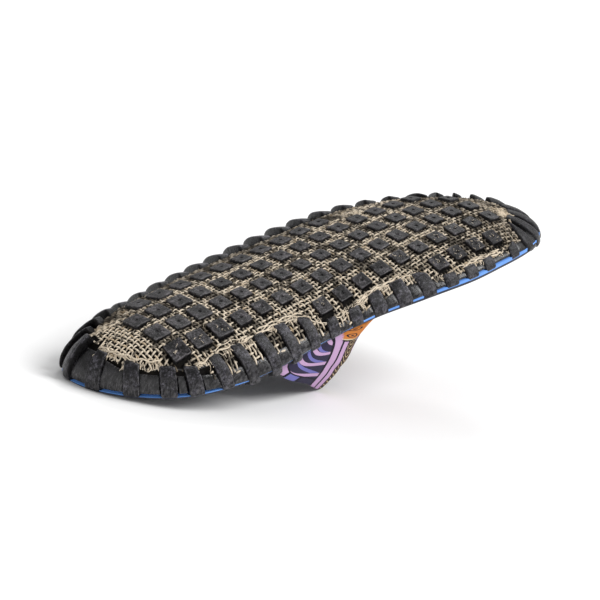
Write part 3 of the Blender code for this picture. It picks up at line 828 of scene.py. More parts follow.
def printed(name):
    """Canvas with zigzag bars, plain stripes and a dotted end band.

    The mark "cloth" holds along-strap and across-strap distances in mm and the
    side of the cloth (1 outer face, 0 lining)."""
    mat, tree, shader = new_mat(name)
    at = mark(tree, "cloth", True)
    sep = node(tree, "ShaderNodeSeparateXYZ")
    tree.links.new(at, sep.inputs[0])
    along, across, outer = sep.outputs[0], sep.outputs[1], sep.outputs[2]

    def frac(v):
        return math_of(tree, "FRACT", v)

    def tri(v):
        return math_of(tree, "ABSOLUTE", math_of(tree, "SUBTRACT", math_of(tree, "MULTIPLY", frac(v), 2.0), 1.0))

    def between(v, low, high):
        return math_of(tree, "MULTIPLY", math_of(tree, "GREATER_THAN", v, low), math_of(tree, "LESS_THAN", v, high))

    jitter = math_of(tree, "MULTIPLY_ADD", noise(tree, at, 0.5), 0.9, -0.45)
    crest, front = mark(tree, "crest"), mark(tree, "front")
    edge = math_of(tree, "ADD", crest, math_of(tree, "MULTIPLY", jitter, 0.8))
    # zigzag on navy: one arm lavender, the other lilac, both outlined
    high = spread(tree, edge, -24.0, -56.0)
    phase = frac(math_of(tree, "ADD", math_of(tree, "MULTIPLY", across, 1.0 / 8.0),
                         math_of(tree, "MULTIPLY", jitter, 0.05)))
    colour = NAVY
    for way, ink_mix, tone in ((0.5, INK, LAVENDER), (-0.5, INK, LILAC)):
        at_phase = math_of(tree, "MULTIPLY_ADD", high, way, 0.0 if way > 0 else 1.0)
        off = math_of(tree, "ABSOLUTE", math_of(tree, "SUBTRACT", phase, at_phase))
        off = math_of(tree, "MINIMUM", off, math_of(tree, "SUBTRACT", 1.0, off))
        colour = mix(tree, math_of(tree, "LESS_THAN", off, 0.165), colour, ink_mix)
        colour = mix(tree, math_of(tree, "LESS_THAN", off, 0.14), colour, tone)
    # blocks along the rear edge
    block = ramp(tree, frac(math_of(tree, "MULTIPLY", along, 1.0 / 30.0)),
                 ((0.0, LILAC), (0.26, INK), (0.32, LAVENDER), (0.55, INK), (0.60, NAVY), (0.94, INK)), "CONSTANT")
    colour = mix(tree, math_of(tree, "LESS_THAN", across, 5.2), colour, INK)
    colour = mix(tree, math_of(tree, "LESS_THAN", across, 4.3), colour, block)
    # two plain stripes beside the crest of each leg, then a plaited border
    stripe = ramp(tree, spread(tree, edge, -24.0, 0.0),
                  ((0.0, INK), (0.09, LILAC), (0.36, INK), (0.45, LILAC), (0.71, INK)), "CONSTANT")
    plait = frac(math_of(tree, "ADD", math_of(tree, "MULTIPLY", across, 0.36),
                         math_of(tree, "MULTIPLY", tri(math_of(tree, "MULTIPLY", crest, 0.1)), 0.5)))
    braid = ramp(tree, plait, ((0.0, (0.03, 0.018, 0.012)), (0.45, (0.14, 0.07, 0.035)), (0.72, CREAM),
                               (0.86, (0.02, 0.012, 0.01))), "CONSTANT")
    colour = mix(tree, between(edge, -24.0, -5.5), colour, stripe)
    colour = mix(tree, between(edge, -5.5, 6.0), colour, braid)
    # warm band at the front edge with a row of ringed dots
    cell = math_of(tree, "MULTIPLY", math_of(tree, "SUBTRACT", frac(math_of(tree, "MULTIPLY", front, 1.0 / 5.2)), 0.5), 2.5)
    rise = math_of(tree, "MULTIPLY", math_of(tree, "ADD", crest, 8.0), 1.0 / 8.0)
    dist = math_of(tree, "SQRT", math_of(tree, "ADD", math_of(tree, "MULTIPLY", cell, cell),
                                         math_of(tree, "MULTIPLY", rise, rise)))
    warm = ramp(tree, dist, ((0.0, INK), (0.22, ORANGE), (0.50, INK), (0.72, ORANGE)), "CONSTANT")
    warm = mix(tree, math_of(tree, "GREATER_THAN", front, 10.4), warm, CREAM)
    warm = mix(tree, math_of(tree, "GREATER_THAN", front, 11.2), warm, INK)
    colour = mix(tree, math_of(tree, "MULTIPLY", mark(tree, "warm"), math_of(tree, "LESS_THAN", front, 12.2)), colour, warm)
    lining = ramp(tree, noise(tree, at, 0.8), ((0.3, (0.012, 0.013, 0.03)), (0.7, (0.03, 0.03, 0.06))))
    colour = mix(tree, outer, lining, colour)
    fade = noise(tree, at, 1.6, 4.0, 0.7)
    colour = mix(tree, spread(tree, fade, 0.35, 0.75, 0.0, 0.10), colour, (0.12, 0.10, 0.14))
    tree.links.new(colour, shader.inputs["Base Color"])
    shader.inputs["Roughness"].default_value = 0.88
    shader.inputs["Specular IOR Level"].default_value = 0.25
    bumped(tree, shader, canvas_height(tree, at), 0.35, 0.00025)
    return mat


RUBBER = rubber("moulded_rubber", (0.0008, 0.0007, 0.0012), (0.102, 0.097, 0.116), 0.22, 0.22, 0.26, 0.6, 0.7)
LUG_RUBBER = rubber("lug_rubber", (0.0008, 0.0007, 0.0010), (0.108, 0.099, 0.108), 0.24, 0.22, 0.26, 0.6, 0.7)
PLATE_RUBBER = rubber("plate_rubber", (0.0008, 0.0007, 0.0010), (0.020, 0.019, 0.023), 0.12, 0.42, 0.22, 0.5, 0.4)
BASE_RUBBER = rubber("base_rubber", (0.0020, 0.0016, 0.0012), (0.0090, 0.0065, 0.0045), 0.7, 0.10, 0.15, 0.0)
JUTE = jute("woven_jute", (0.94, 0.82, 0.655), (0.50, 0.37, 0.22), (0.13, 0.08, 0.045))
FOAM = foam("blue_foam", (0.105, 0.285, 0.74), (0.155, 0.365, 0.86))
PRINT = printed("printed_canvas")

# ----------------------------------------------------------------------- the sole
SIDE_STEP = 2.3


def rim_marks(step=SIDE_STEP):
    """Stations round the rim; both sides share their x so that rows meet on the spine."""
    xs = np.linspace(END_HEEL_X, END_TOE_X, int((END_TOE_X - END_HEEL_X) / step) + 1)
    medial = [(x, edge_y(x, 1)) for x in xs]
    lateral = [(x, edge_y(x, -1)) for x in xs[::-1]]
    toe_a, toe_b = rim.of(END_TOE_X, 1), rim.of(END_TOE_X, -1)
    heel_a, heel_b = rim.of(END_HEEL_X, -1), rim.of(END_HEEL_X, 1) + rim.long
    toe = [rim.at(d) for d in np.linspace(toe_a, toe_b, int((toe_b - toe_a) / step) + 1)[1:-1]]
    heel = [rim.at(d) for d in np.linspace(heel_a, heel_b, int((heel_b - heel_a) / step) + 1)[1:-1]]
    return medial + toe + lateral + heel


def bed_top(x, y, s, side):
    pad = ARCH_PAD * math.exp(-((x - ARCH_PAD_AT) / ARCH_PAD_SPREAD) ** 2)
    pad *= float(smooth((y - float(spine_y(x))) / 40.0)) * (1.0 - s ** 6)
    return float(rim_z(x)) - float(blend(CUP_HEEL, CUP_TOE, x)) * (1.0 - s ** 4) + pad


def seat(x, s):
    drop = float(blend(CUP_HEEL, CUP_TOE, x)) + BED_SEAT
    return float(rim_z(x)) - float(bed_edge(x)) - drop * (1.0 - s ** 4)


def lean_of(x, side):
    """How far along the rim the foot of a rib lies from its root, which is towards the toe."""
    if side < 0:
        return -LATERAL_LEAN * float(smooth((x + 122.0) / 20.0) * smooth((120.0 - x) / 30.0))
    return RIB_LEAN * float(smooth((x - RIB_LEAN_FROM) / 25.0) * smooth((RIB_LEAN_TO - x) / 40.0))


def shown_ribs():
    """(middle, half width, kind) of the ribs as they show: slimmer along the medial waist."""
    out = []
    for mid, half, kind in RIBS:
        x, y = rim.at(mid)
        slim = 0.0
        if kind == "side" and y > float(spine_y(x)):
            slim = 0.75 * float(smooth((x + 112.0) / 18.0) * smooth((12.0 - x) / 20.0))
        elif y < float(spine_y(np.clip(x, END_HEEL_X, END_TOE_X))):
            slim = 0.55
        out.append((mid, half - 0.22 - slim, kind))
    return out


SHOWN = shown_ribs()


def gaps_round():
    """(middle, half width) of every gap between neighbouring ribs."""
    out = []
    for (a, ha, _), (b, hb, _) in zip(SHOWN, SHOWN[1:] + SHOWN[:1]):
        if b < a:
            b += rim.long
        low, high = a + ha, b - hb
        out.append((0.5 * (low + high) % rim.long, 0.5 * (high - low)))
    return out


GAPS = gaps_round()
NOTCH_TO = -88.0               # gaps behind here have an open notch over the plate


def plate_down(c):
    return column(PLATE, PLATE_COLUMNS, "medial" if c.side > 0 else "lateral", c.x)


def shoulder_turn(c, share_down):
    first = c.turn_at_share(c.start)
    last = c.turn_below_rim(column(PLATE, PLATE_COLUMNS, "end", c.x))
    return first + (last - first) * share_down


def open_gap(x, side):
    """Gaps behind the heel, along the lateral side and round the toe are open to the base."""
    return side < 0 or x < NOTCH_TO or x > 116.0


def in_notch(d, x, side):
    if not open_gap(x, side):
        return False
    return any(abs((d - mid + 0.5 * rim.long) % rim.long - 0.5 * rim.long) < half for mid, half in GAPS)


def base_piece():
    """Backing of the tread, sole wall and seat: what the lugs, ribs and weave stand on."""
    build = Build("edge")
    cuts = [Section(*m) for m in rim_marks(1.15)]
    rows = []
    for lv in (0.0, 0.08, 0.16, 0.24, 0.32, 0.40, 0.48, 0.56, 0.64, 0.72, 0.80, 0.88, 0.95, 1.0):
        row = []
        for c in cuts:
            x, y, _ = c.place(c.reach * c.start * lv, 0.0)
            z = float(field.read(field.ground, np.array([x]), np.array([y]))[0])
            row.append((x, y, z))
        rows.append(row)
    path = [(rim.of(c.x, c.side), lean_of(c.x, c.side)) for c in cuts]
    steps = 16
    for k in range(1, steps + 1):
        u = k / steps
        row = []
        for c, (d, slant) in zip(cuts, path):
            open_here = in_notch(d - slant * u, c.x, c.side)
            first = c.turn_at_share(c.start) + 0.02
            last = c.turn_below_rim(float(bed_edge(c.x)) + 0.2)
            depth = WEAVE_DEPTH
            if open_here and u < plate_down(c) + 0.05:
                depth = OPEN_DEPTH if c.side < 0 and -120.0 < c.x else NOTCH_DEPTH
            row.append(c.shell(first + (last - first) * u, depth, float(smooth(1.4 * u))))
        rows.append(row)
    rows.append([c.place(c.reach - LIP - 0.6, float(rim_z(c.x)) - float(bed_edge(c.x))) for c in cuts])
    for lv in (0.85, 0.6, 0.3, 0.0):
        row = []
        for c in cuts:
            x, y, _ = c.place((c.reach - LIP - 0.6) * lv, 0.0)
            row.append((x, y, seat(x, lv)))
        rows.append(row)
    build.add(np.array(rows).reshape(-1, 3), grid_faces(len(rows), len(cuts), True))
    obj = build.piece("outsole_base", [BASE_RUBBER], 50.0, weld=0.02)
    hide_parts("outsole")
    return obj


# drop from the face of a block to its wall, by distance in (-) or out (+) of its edge
ROUND_COLUMNS = ("out", "sink")
ROUND = ((-2.2, -0.04), (-1.25, 0.03), (-0.72, 0.13), (-0.32, 0.34), (-0.04, 0.72), (0.15, 1.5), (0.34, RIB_SINK))


def sink_of(out):
    return float(np.interp(out, [r[0] for r in ROUND], [r[1] for r in ROUND]))


def rounded_box(a, b, half_a, half_b, radius):
    qa, qb = abs(a) - half_a + radius, abs(b) - half_b + radius
    return math.hypot(max(qa, 0.0), max(qb, 0.0)) + min(max(qa, qb), 0.0) - radius


def edge_lines(half, step=None):
    """Places across a block, denser at its rounded edges."""
    side = [half + r[0] for r in ROUND if half + r[0] > 0.3]
    inner = [0.0]
    if step and half > 2.4:
        n = max(int((half - 2.2) / step), 1)
        inner = [(half - 2.3) * k / n for k in range(-n, n + 1)]
    return sorted([-v for v in side] + inner + side)


def shoulder_block(build, mid, half, first, last, depth, radius, seed, lift=0.0, over=0.0, deep=0.0, tip=0.0):
    """A block on the shoulder, across the rim path and down the shell.

    first(c) and last(c) are its upper and lower bend of the shell, depth(u) how far
    it lies under the shell at u of its length; over is how far it hangs past last."""
    rng = np.random.default_rng(seed)
    centre = Section(*rim.at(mid))
    t0, t1 = first(centre), last(centre)
    turns = np.linspace(t0, t1, 60)
    pts = np.array([centre.shell(t, 0.5 * (depth(0.0) + depth(1.0))) for t in turns])
    dist = np.concatenate([[0.0], np.cumsum(np.linalg.norm(np.diff(pts, axis=0), axis=1))])
    long = float(dist[-1]) + over - 0.4
    if long < 1.2:
        return
    offs = edge_lines(half, 1.4)
    root, foot = centre.turn_at_share(centre.start), centre.turn_below_rim(RIB_WRAP)
    slant = lean_of(centre.x, centre.side)
    dim = 0.75 * float(smooth((centre.x - 70.0) / 45.0))        # darker towards the toe
    tilt, hump, phase = rng.uniform(-0.10, 0.10), rng.uniform(0.05, 0.14), rng.uniform(0.0, 6.0)
    grid, edge = [], []
    lines = edge_lines(0.5 * long, 1.5)
    for v in lines:
        along = v + 0.5 * long + 0.1
        u = min(max(along / dist[-1], -0.05), 1.0)
        t = t0 + (np.interp(min(max(along, 0.0), dist[-1]), dist, turns) - t0)
        if along < 0.0:
            t = t0 + along / dist[-1] * (t1 - t0)
        down = min(max((t - root) / (foot - root), 0.0), 1.0)
        for o in offs:
            c = Section(*rim.at(mid + o + slant * down))
            c0, c1 = first(c), last(c)
            bend = c0 + (t - t0) * (c1 - c0) / (t1 - t0)
            out = rounded_box(o, v, half, 0.5 * long, radius)
            sunk = sink_of(out)
            if deep and sunk > 1.5:
                sunk += (deep - RIB_SINK) * (sunk - 1.5) / (RIB_SINK - 1.5) * float(smooth((0.85 - down) / 0.15))
            uneven = hump * math.sin(0.8 * v + phase) * math.cos(0.6 * o + phase) + tilt * o / half
            raised = lift * (1.0 - down ** 2) + tip * max(min(o / half, 1.0), -1.0) * (1.0 - down ** 4)
            x, y, z = c.shell(min(bend, 0.5 * math.pi - 0.003), depth(u) + sunk - raised + 0.5 * uneven)
            grid.append((x, y, z + max(along - dist[-1], 0.0)))
            # a band along the rounded edge: edge wear with a painted highlight
            wear_and_painted_light = float(np.clip(1.0 - abs(out + 0.3) / 0.6, 0.0, 1.0))
            # walls of the block get a negative edge mark: painted shade
            if sunk > 0.45:
                edge.append(-float(smooth((sunk - 0.3) / 0.9)))
            else:
                # the face gets the edge band, or a painted sheen further down the shoulder
                wear_and_painted_sheen = max(wear_and_painted_light, 0.55 * float(smooth((down - 0.35) / 0.5)) if sunk < 0.3 else 0.0)
                edge.append(wear_and_painted_sheen * (1.0 - dim) - dim)
    build.add(np.array(grid), closed_patch(len(lines), len(offs)), edge=np.array(edge))


def shown_stop(c):
    """Ribs at heel, waist and toe tip lap the footbed edge; between they end over the blue."""
    return max(column(RIB_END, RIB_END_COLUMNS, "drop", c.x), 0.2)


def rib_piece():
    build = Build("edge")
    for k, (mid, half, kind) in enumerate(SHOWN):
        c = Section(*rim.at(mid))
        lift = LATERAL_LIFT + 1.9 * float(smooth((-80.0 - c.x) / 25.0)) if c.side < 0 else 0.0
        over = max(column(RIB_END, RIB_END_COLUMNS, "over", c.x), 0.0) if c.side > 0 else 0.0
        shoulder_block(build, mid, half, lambda c: c.turn_at_share(c.start),
                       lambda c: c.turn_below_rim(shown_stop(c)), lambda u: 0.0, RIB_ROUND, 11 + k, lift, over,
                       OPEN_DEPTH + 0.2 if c.side < 0 else 0.0, LATERAL_TIP if c.side < 0 else 0.0)
    return build.piece("sole_ribs", [RUBBER], 60.0)


def plate_piece():
    """Glossy plates between the ribs; behind the heel a low bar stands in each notch."""
    build = Build("edge")
    for k, (mid, half) in enumerate(GAPS):
        c = Section(*rim.at(mid))
        deep = c.side < 0 and -124.0 < c.x < 116.0
        top, foot = (OPEN_PLATE_DEPTH, OPEN_END_DEPTH) if deep else (PLATE_DEPTH, PLATE_END_DEPTH)
        shoulder_block(build, mid, half + 0.3, lambda c: shoulder_turn(c, plate_down(c)),
                       lambda c: shoulder_turn(c, 1.0),
                       lambda u: top + (foot - top) * float(smooth(u)), 0.4, 301 + k,
                       over=1.3 * float(smooth((c.x - 122.0) / 8.0)))
        if -124.0 < c.x < NOTCH_TO and c.side > 0:
            shoulder_block(build, mid, half + 0.2, lambda c: shoulder_turn(c, 0.10),
                           lambda c: shoulder_turn(c, 0.29), lambda u: top + 0.1, 0.3, 501 + k)
    return build.piece("sole_plates", [PLATE_RUBBER], 60.0)


LUGS = [(i, j, (i - LUG_COLUMN_AT) * LUG_PITCH, (j - LUG_ROW_AT) * LUG_PITCH)
        for j, first, last in LUG_ROWS for i in range(first, last + 1)]


def lug_side(i):
    return HEEL_LUG_SIDE if i <= HEEL_LUG_LAST else LUG_SIDE


# rings from the foot of a lug to its rim: in from the side, height, corner radius, edge mark (below 0 painted shade on
# the walls, above 0 wear with a painted highlight on the rim)
LUG_RING_COLUMNS = ("in", "height", "corner", "edge")
LUG_RINGS = (
    (-0.30, -3.8, 0.9, -1.0),
    (-0.12, -2.0, 0.8, -1.0),
    (0.02, -0.75, 0.75, -0.7),
    (0.09, -0.30, 0.7, 0.7),
    (0.19, -0.10, 0.65, 1.0),
    (0.36, -0.015, 0.6, 0.9),
    (0.80, 0.0, 0.5, 0.1),
    (1.90, -0.03, 0.5, 0.0),
)
# then the dimple: radius, height, edge mark (a painted highlight on its lip, painted shade in its hollow)
DIMPLE_COLUMNS = ("radius", "height", "edge")
DIMPLE = ((1.25, -0.04, 0.0), (1.05, -0.09, 0.5), (0.82, -0.42, -0.9), (0.45, -0.50, -0.9))


def rounded_square(half, corner, per_corner=5, per_side=3):
    pts = []
    for q in range(4):
        a0 = 0.5 * math.pi * q
        mid = np.array([half - corner, half - corner])
        for k in range(per_corner):
            a = 0.5 * math.pi * k / (per_corner - 1)
            pts.append(mid + corner * np.array([math.cos(a), math.sin(a)]))
        for k in range(1, per_side + 1):
            f = k / (per_side + 1)
            pts.append(np.array([(half - corner) * (1.0 - 2.0 * f), half]))
        turned = np.array([[math.cos(a0), -math.sin(a0)], [math.sin(a0), math.cos(a0)]])
        n = per_corner + per_side
        pts[-n:] = [turned @ p for p in pts[-n:]]
    return np.array(pts)


def lug_piece():
    build = Build("edge")
    for n, (i, j, cx, cy) in enumerate(LUGS):
        rng = np.random.default_rng(900 + n)
        up = -field.normal(np.array([cx]), np.array([cy]))[0]
        mid = np.array([cx, cy, float(field.read(field.tread, np.array([cx]), np.array([cy]))[0])])
        mid = mid - up * rng.uniform(-0.1, 0.15)
        across = np.array([1.0, 0.0, 0.0]) - up * up[0]
        across /= np.linalg.norm(across)
        along = np.cross(up, across)
        twist = rng.normal(0.0, 0.025)
        across, along = (across * math.cos(twist) + along * math.sin(twist),
                         along * math.cos(twist) - across * math.sin(twist))
        lean = rng.normal(0.0, 0.014, 2)
        half = 0.5 * lug_side(i) - 0.05 + rng.uniform(-0.15, 0.15)
        rows, edge = [], []
        for inset, high, corner, wear_and_painted_light in LUG_RINGS:
            q = rounded_square(half - inset, corner)
            h = high + lean[0] * q[:, 0] + lean[1] * q[:, 1]
            rows.append(mid + q[:, :1] * across + q[:, 1:] * along + h[:, None] * up)
            edge += [wear_and_painted_light] * len(q)
        way = np.arctan2(q[:, 1], q[:, 0])
        for radius, high, wear_and_painted_light in DIMPLE:
            rows.append(mid + radius * np.cos(way)[:, None] * across + radius * np.sin(way)[:, None] * along + high * up)
            edge += [wear_and_painted_light] * len(way)
        sides = len(way)
        pts = np.concatenate(rows + [[mid - 0.42 * up]])
        faces = grid_faces(len(rows), sides, True)
        last = (len(rows) - 1) * sides
        faces += [(last + k, last + (k + 1) % sides, len(pts) - 1) for k in range(sides)]
        faces.append(tuple(range(sides)))
        # edge mark: painted shade on the walls and in the dimple, wear with a painted highlight on the rims, and darker
        # towards the toe
        dim = 0.55 * float(smooth((cx - 40.0) / 70.0))
        build.add(pts, faces, edge=np.array(edge + [0.0]) * (1.0 - dim) - dim)
    return build.piece("sole_lugs", [LUG_RUBBER], 50.0)


# ------------------------------------------------------------------------ the jute
def path_of(x, y, s):
    """Rim path distance of the outline point that each plan point looks at."""
    ax = np.clip(x, END_HEEL_X, END_TOE_X)
    ay = spine_y(ax)
    px = ax + (x - ax) / np.maximum(s, 1e-3)
    d_med = np.interp(px, LINE_X, rim.d[:rim.turn + 1])
    d_lat = np.interp(px, LINE_X, rim.d[rim.turn:][::-1])
    return np.where(y > ay, d_med, d_lat)


def weave_limit():
    """Share at which the weave ends, along the rim path."""
    d = np.linspace(0.0, rim.long, 900)
    v = []
    for q in d:
        c = Section(*rim.at(q))
        down = 0.01 if open_gap(c.x, c.side) else plate_down(c) * 0.97
        x, y, _ = c.shell(shoulder_turn(c, down), 0.0)
        v.append(math.hypot(x - c.anchor[0], y - c.anchor[1]) / c.reach)
    return d, np.array(v)


LIMIT_D, LIMIT_S = weave_limit()
RIB_MID = np.array([m for m, _, _ in SHOWN])
RIB_HALF = np.array([h for _, h, _ in SHOWN])


def lug_near(x, y):
    """Distance in mm to the nearest lug wall, below 0 inside a lug, 9 where none is near."""
    u, v = x / LUG_PITCH + LUG_COLUMN_AT, y / LUG_PITCH + LUG_ROW_AT
    i, j = np.rint(u), np.rint(v)
    side = np.where(i <= HEEL_LUG_LAST, HEEL_LUG_SIDE, LUG_SIDE)
    box = np.maximum(np.abs(u - i), np.abs(v - j)) * LUG_PITCH - 0.5 * side
    far = np.full(x.shape, 9.0)
    for row, first, last in LUG_ROWS:
        far = np.where((j == row) & (i >= first) & (i <= last), box, far)
    return far


def weave_open(x, y):
    """Where threads lie bare: clear of lugs, ribs and plates."""
    s = field.read(field.share, x, y)
    d = path_of(x, y, s)
    off = np.abs((d[:, None] - RIB_MID[None] + 0.5 * rim.long) % rim.long - 0.5 * rim.long)
    in_rib = (off < RIB_HALF[None] - 0.2).any(1) & (s > reach_at(x, y) + 0.004)
    ok = (s < np.interp(d, LIMIT_D, LIMIT_S)) & ~in_rib & (s < 0.965) & (lug_near(x, y) > -0.6)
    return ok, s, d


def thread_tube(build, pts, out, wide, high, tint, stain):
    """Flat-bellied closed tube through pts; out is the way off the sole."""
    n = len(pts)
    along = np.empty_like(pts)
    along[1:-1] = pts[2:] - pts[:-2]
    along[0], along[-1] = pts[1] - pts[0], pts[-1] - pts[-2]
    along /= np.linalg.norm(along, axis=1, keepdims=True)
    side = np.cross(along, out)
    side /= np.linalg.norm(side, axis=1, keepdims=True)
    up = np.cross(side, along)
    wide = np.broadcast_to(np.asarray(wide, float), (n,))[:, None]
    high = np.broadcast_to(np.asarray(high, float), (n,))[:, None]
    ring = np.stack([pts - side * wide * 0.5, pts + up * high * 0.5, pts + side * wide * 0.5,
                     pts - up * high * 0.35], 1)
    faces = grid_faces(n, 4, True)
    faces += [(3, 2, 1, 0), tuple((n - 1) * 4 + k for k in range(4))]
    build.add(ring.reshape(-1, 3), faces, tint=np.repeat(tint, 4), stain=np.repeat(stain, 4))


def soft_noise(x, y, seed, scale):
    rng = np.random.default_rng(seed)
    out = np.zeros_like(x)
    for _ in range(6):
        a = rng.uniform(0, 2 * math.pi)
        f = 2 * math.pi / (scale * rng.uniform(0.6, 1.7))
        out += np.sin((x * math.cos(a) + y * math.sin(a)) * f + rng.uniform(0, 6.28))
    return out / 3.0


def smear_and_shade_at(x, y):
    """Darkening of the threads: smeared rubber and painted shade round the lugs, smeared rubber in patches, and darker
    towards the lateral side and the toe.
    """
    # a ring round each lug: smeared rubber and painted shade by the lug walls
    ring = np.clip(1.0 - lug_near(x, y) / 1.1, 0.0, 1.0) * 0.8
    patch = np.clip((soft_noise(x, y, 5, 19.0) - 0.35) * 0.9, 0.0, 0.8)
    lateral = np.clip((-y - 26.0) / 14.0, 0.0, 0.55)
    bare = 1.0 - 0.8 * smooth((-98.0 - x) / 8.0)
    toe = 0.75 * smooth((x - 72.0) / 40.0) * (0.45 + 0.55 * smooth((14.0 - y) / 18.0))
    return np.clip(ring + (patch + lateral + toe) * bare, 0.0, 0.92)


SMEARED = np.random.default_rng(77).random((512, 512))


def weave_piece(name, lengthwise):
    build = Build("tint", "stain")
    p = THREAD_PITCH
    low, high = (-70.0, 70.0) if lengthwise else (HEEL_X, TOE_X)
    step = p / THREAD_STEPS
    for k in range(int(low / p), int(high / p) + 1):
        a = np.arange(HEEL_X if lengthwise else -70.0, TOE_X if lengthwise else 70.0, step)
        b = k * p + wobble(a, 40 + k + (0 if lengthwise else 500), 0.26, 24.0)
        b = b + 0.4 * np.sin(a / 31.0 + 0.15 * k)        # the cloth is drawn a little askew
        x, y = (a, b) if lengthwise else (b, a)
        ok, s, d = weave_open(x, y)
        if ok.sum() < 4:
            continue
        z = field.read(field.ground, x, y)
        out = -field.normal(x, y)
        flip = 1.0 if (lengthwise == (k % 2 == 0)) else -1.0
        wave = np.cos(math.pi * a / p) * flip
        rng = np.random.default_rng(7000 + k + (0 if lengthwise else 1000))
        fat = rng.uniform(0.82, 1.15) * (1.0 + 0.14 * wobble(a, 90 + k, 1.0, 9.0) + 0.12 * wave)
        tone = np.clip(rng.uniform(0.25, 1.0) + 0.30 * wobble(a, 60 + k, 1.0, 14.0), 0.0, 1.0)
        pts = np.stack([x, y, z], 1) + out * (THREAD_LIFT + THREAD_WAVE * wave)[:, None]
        cell = np.rint(a / p).astype(int)
        rub = SMEARED[(cell + 200) % 512, (k + 200 + (0 if lengthwise else 256)) % 512]
        bare = smooth((-98.0 - x) / 8.0)
        dark = np.where(rub < 0.30 - 0.17 * bare, 0.85, 0.0)
        # each thread is also darkened where it dips under the crossing one: painted shade
        stain = np.clip(np.maximum(smear_and_shade_at(x, y), dark) + 0.35 * (wave < -0.2), 0.0, 0.96)
        split = np.flatnonzero(np.diff(ok.astype(int)) != 0) + 1
        for run in np.split(np.arange(len(a)), split):
            if not ok[run[0]] or len(run) < 4:
                continue
            thread_tube(build, pts[run], out[run], THREAD_WIDE * fat[run], THREAD_HIGH, tone[run], stain[run])
    return build.piece(name, [JUTE], 0.0)


def top_of(x, y):
    """Uppermost point under a loose fibre: lug top or weave."""
    on_lug = lug_near(x, y) < 0.0
    base = np.where(on_lug, field.read(field.tread, x, y), field.read(field.ground, x, y))
    out = -field.normal(x, y)
    return np.stack([x, y, base], 1) + out * np.where(on_lug, 0.14, THREAD_LIFT + 0.62)[:, None], out


def loose_fibre(build, x, y, way, long, size, bright, lift, lug=False):
    bend = dice.normal(0.0, 0.5)
    t = np.linspace(0.0, 1.0, 6)
    ang = way + bend * t * 2.0
    px, py = x + np.cumsum(np.cos(ang)) * long / 6.0, y + np.cumsum(np.sin(ang)) * long / 6.0
    on_lug = lug_near(px, py) < 0.0
    if (field.read(field.share, px, py) > 0.93).any() or on_lug.any() != on_lug.all() or on_lug.any() != lug:
        return
    top, out = top_of(px, py)
    raised = top + out * (np.sin(math.pi * t) * lift)[:, None]
    thread_tube(build, raised, out, size, size, np.full(6, bright), np.zeros(6))


def fibre_piece():
    """Cut cloth edge along the medial rib ends, and loose fibres on lugs and weave."""
    build = Build("tint", "stain")
    half_way = rim.d[rim.turn]
    for strand in range(5):
        d = 6.0
        while d < half_way - 72.0:
            run = dice.uniform(14.0, 40.0)
            if dice.random() < 0.72:
                q = np.arange(d, min(d + run, half_way - 72.0), 1.0)
                off = wobble(q, 3000 + strand * 97 + int(d), 0.5, 13.0)
                pts = []
                for v, o in zip(q, off):
                    c = Section(*rim.at(v))
                    pts.append(c.place(c.reach * c.start - 0.5 - 0.55 * strand + o, 0.0))
                pts = np.array(pts)
                if len(pts) > 5 and (lug_near(pts[:, 0], pts[:, 1]) > 0.1).all():
                    top, out = top_of(pts[:, 0], pts[:, 1])
                    size = dice.uniform(0.4, 0.95)
                    thread_tube(build, top, out, size * (1 + 0.25 * wobble(q, 77 + strand, 1.0, 6.0)), size * 0.8,
                                np.full(len(q), dice.uniform(0.5, 1.0)),
                                np.clip(0.3 * wobble(q, 55, 1.0, 8.0), 0.0, 0.5))
            d += run + dice.uniform(1.0, 9.0)
    # ends of cut threads that stick out between the ribs
    for n in range(420):
        c = Section(*rim.at(dice.uniform(8.0, half_way - 62.0)))
        x, y, _ = c.place(c.reach * c.start - dice.uniform(0.0, 2.6), 0.0)
        way = math.atan2(c.dir[1], c.dir[0]) + dice.normal(0.0, 0.8)
        loose_fibre(build, x, y, way, dice.uniform(1.2, 3.4), dice.uniform(0.18, 0.42), dice.uniform(0.4, 1.0), 0.2)
    for i, j in FIBRE_LUGS:
        cx, cy = (i - LUG_COLUMN_AT) * LUG_PITCH, (j - LUG_ROW_AT) * LUG_PITCH
        reach = 0.5 * lug_side(i) - 0.9
        for n in range(int(dice.integers(4, 9))):
            loose_fibre(build, cx + dice.normal(0.0, 0.5 * reach), cy + dice.normal(0.0, 0.5 * reach),
                        dice.uniform(0, 6.28), dice.uniform(0.6, 1.9), dice.uniform(0.14, 0.30),
                        dice.uniform(0.7, 1.0), 0.1, True)
    for n in range(500):
        x = dice.uniform(HEEL_X + 12.0, TOE_X - 10.0)
        y = float(spine_y(x)) + dice.normal(12.0, 22.0)
        s = float(field.read(field.share, np.array([x]), np.array([y]))[0])
        if s < float(reach_at(np.array([x]), np.array([y]))[0]):
            loose_fibre(build, x, y, dice.uniform(0, 6.28), dice.uniform(1.2, 4.0), dice.uniform(0.14, 0.32),
                        dice.uniform(0.4, 1.0), 0.25)
    # a matted tuft by the lateral toe
    for n in range(110):
        loose_fibre(build, TUFT[0] + dice.normal(0.0, 2.4), TUFT[1] + dice.normal(0.0, 3.2), dice.uniform(0, 6.28),
                    dice.uniform(1.5, 4.5), dice.uniform(0.22, 0.5), dice.uniform(0.2, 0.6), 0.4)
    return build.piece("jute_fibres", [JUTE], 0.0)


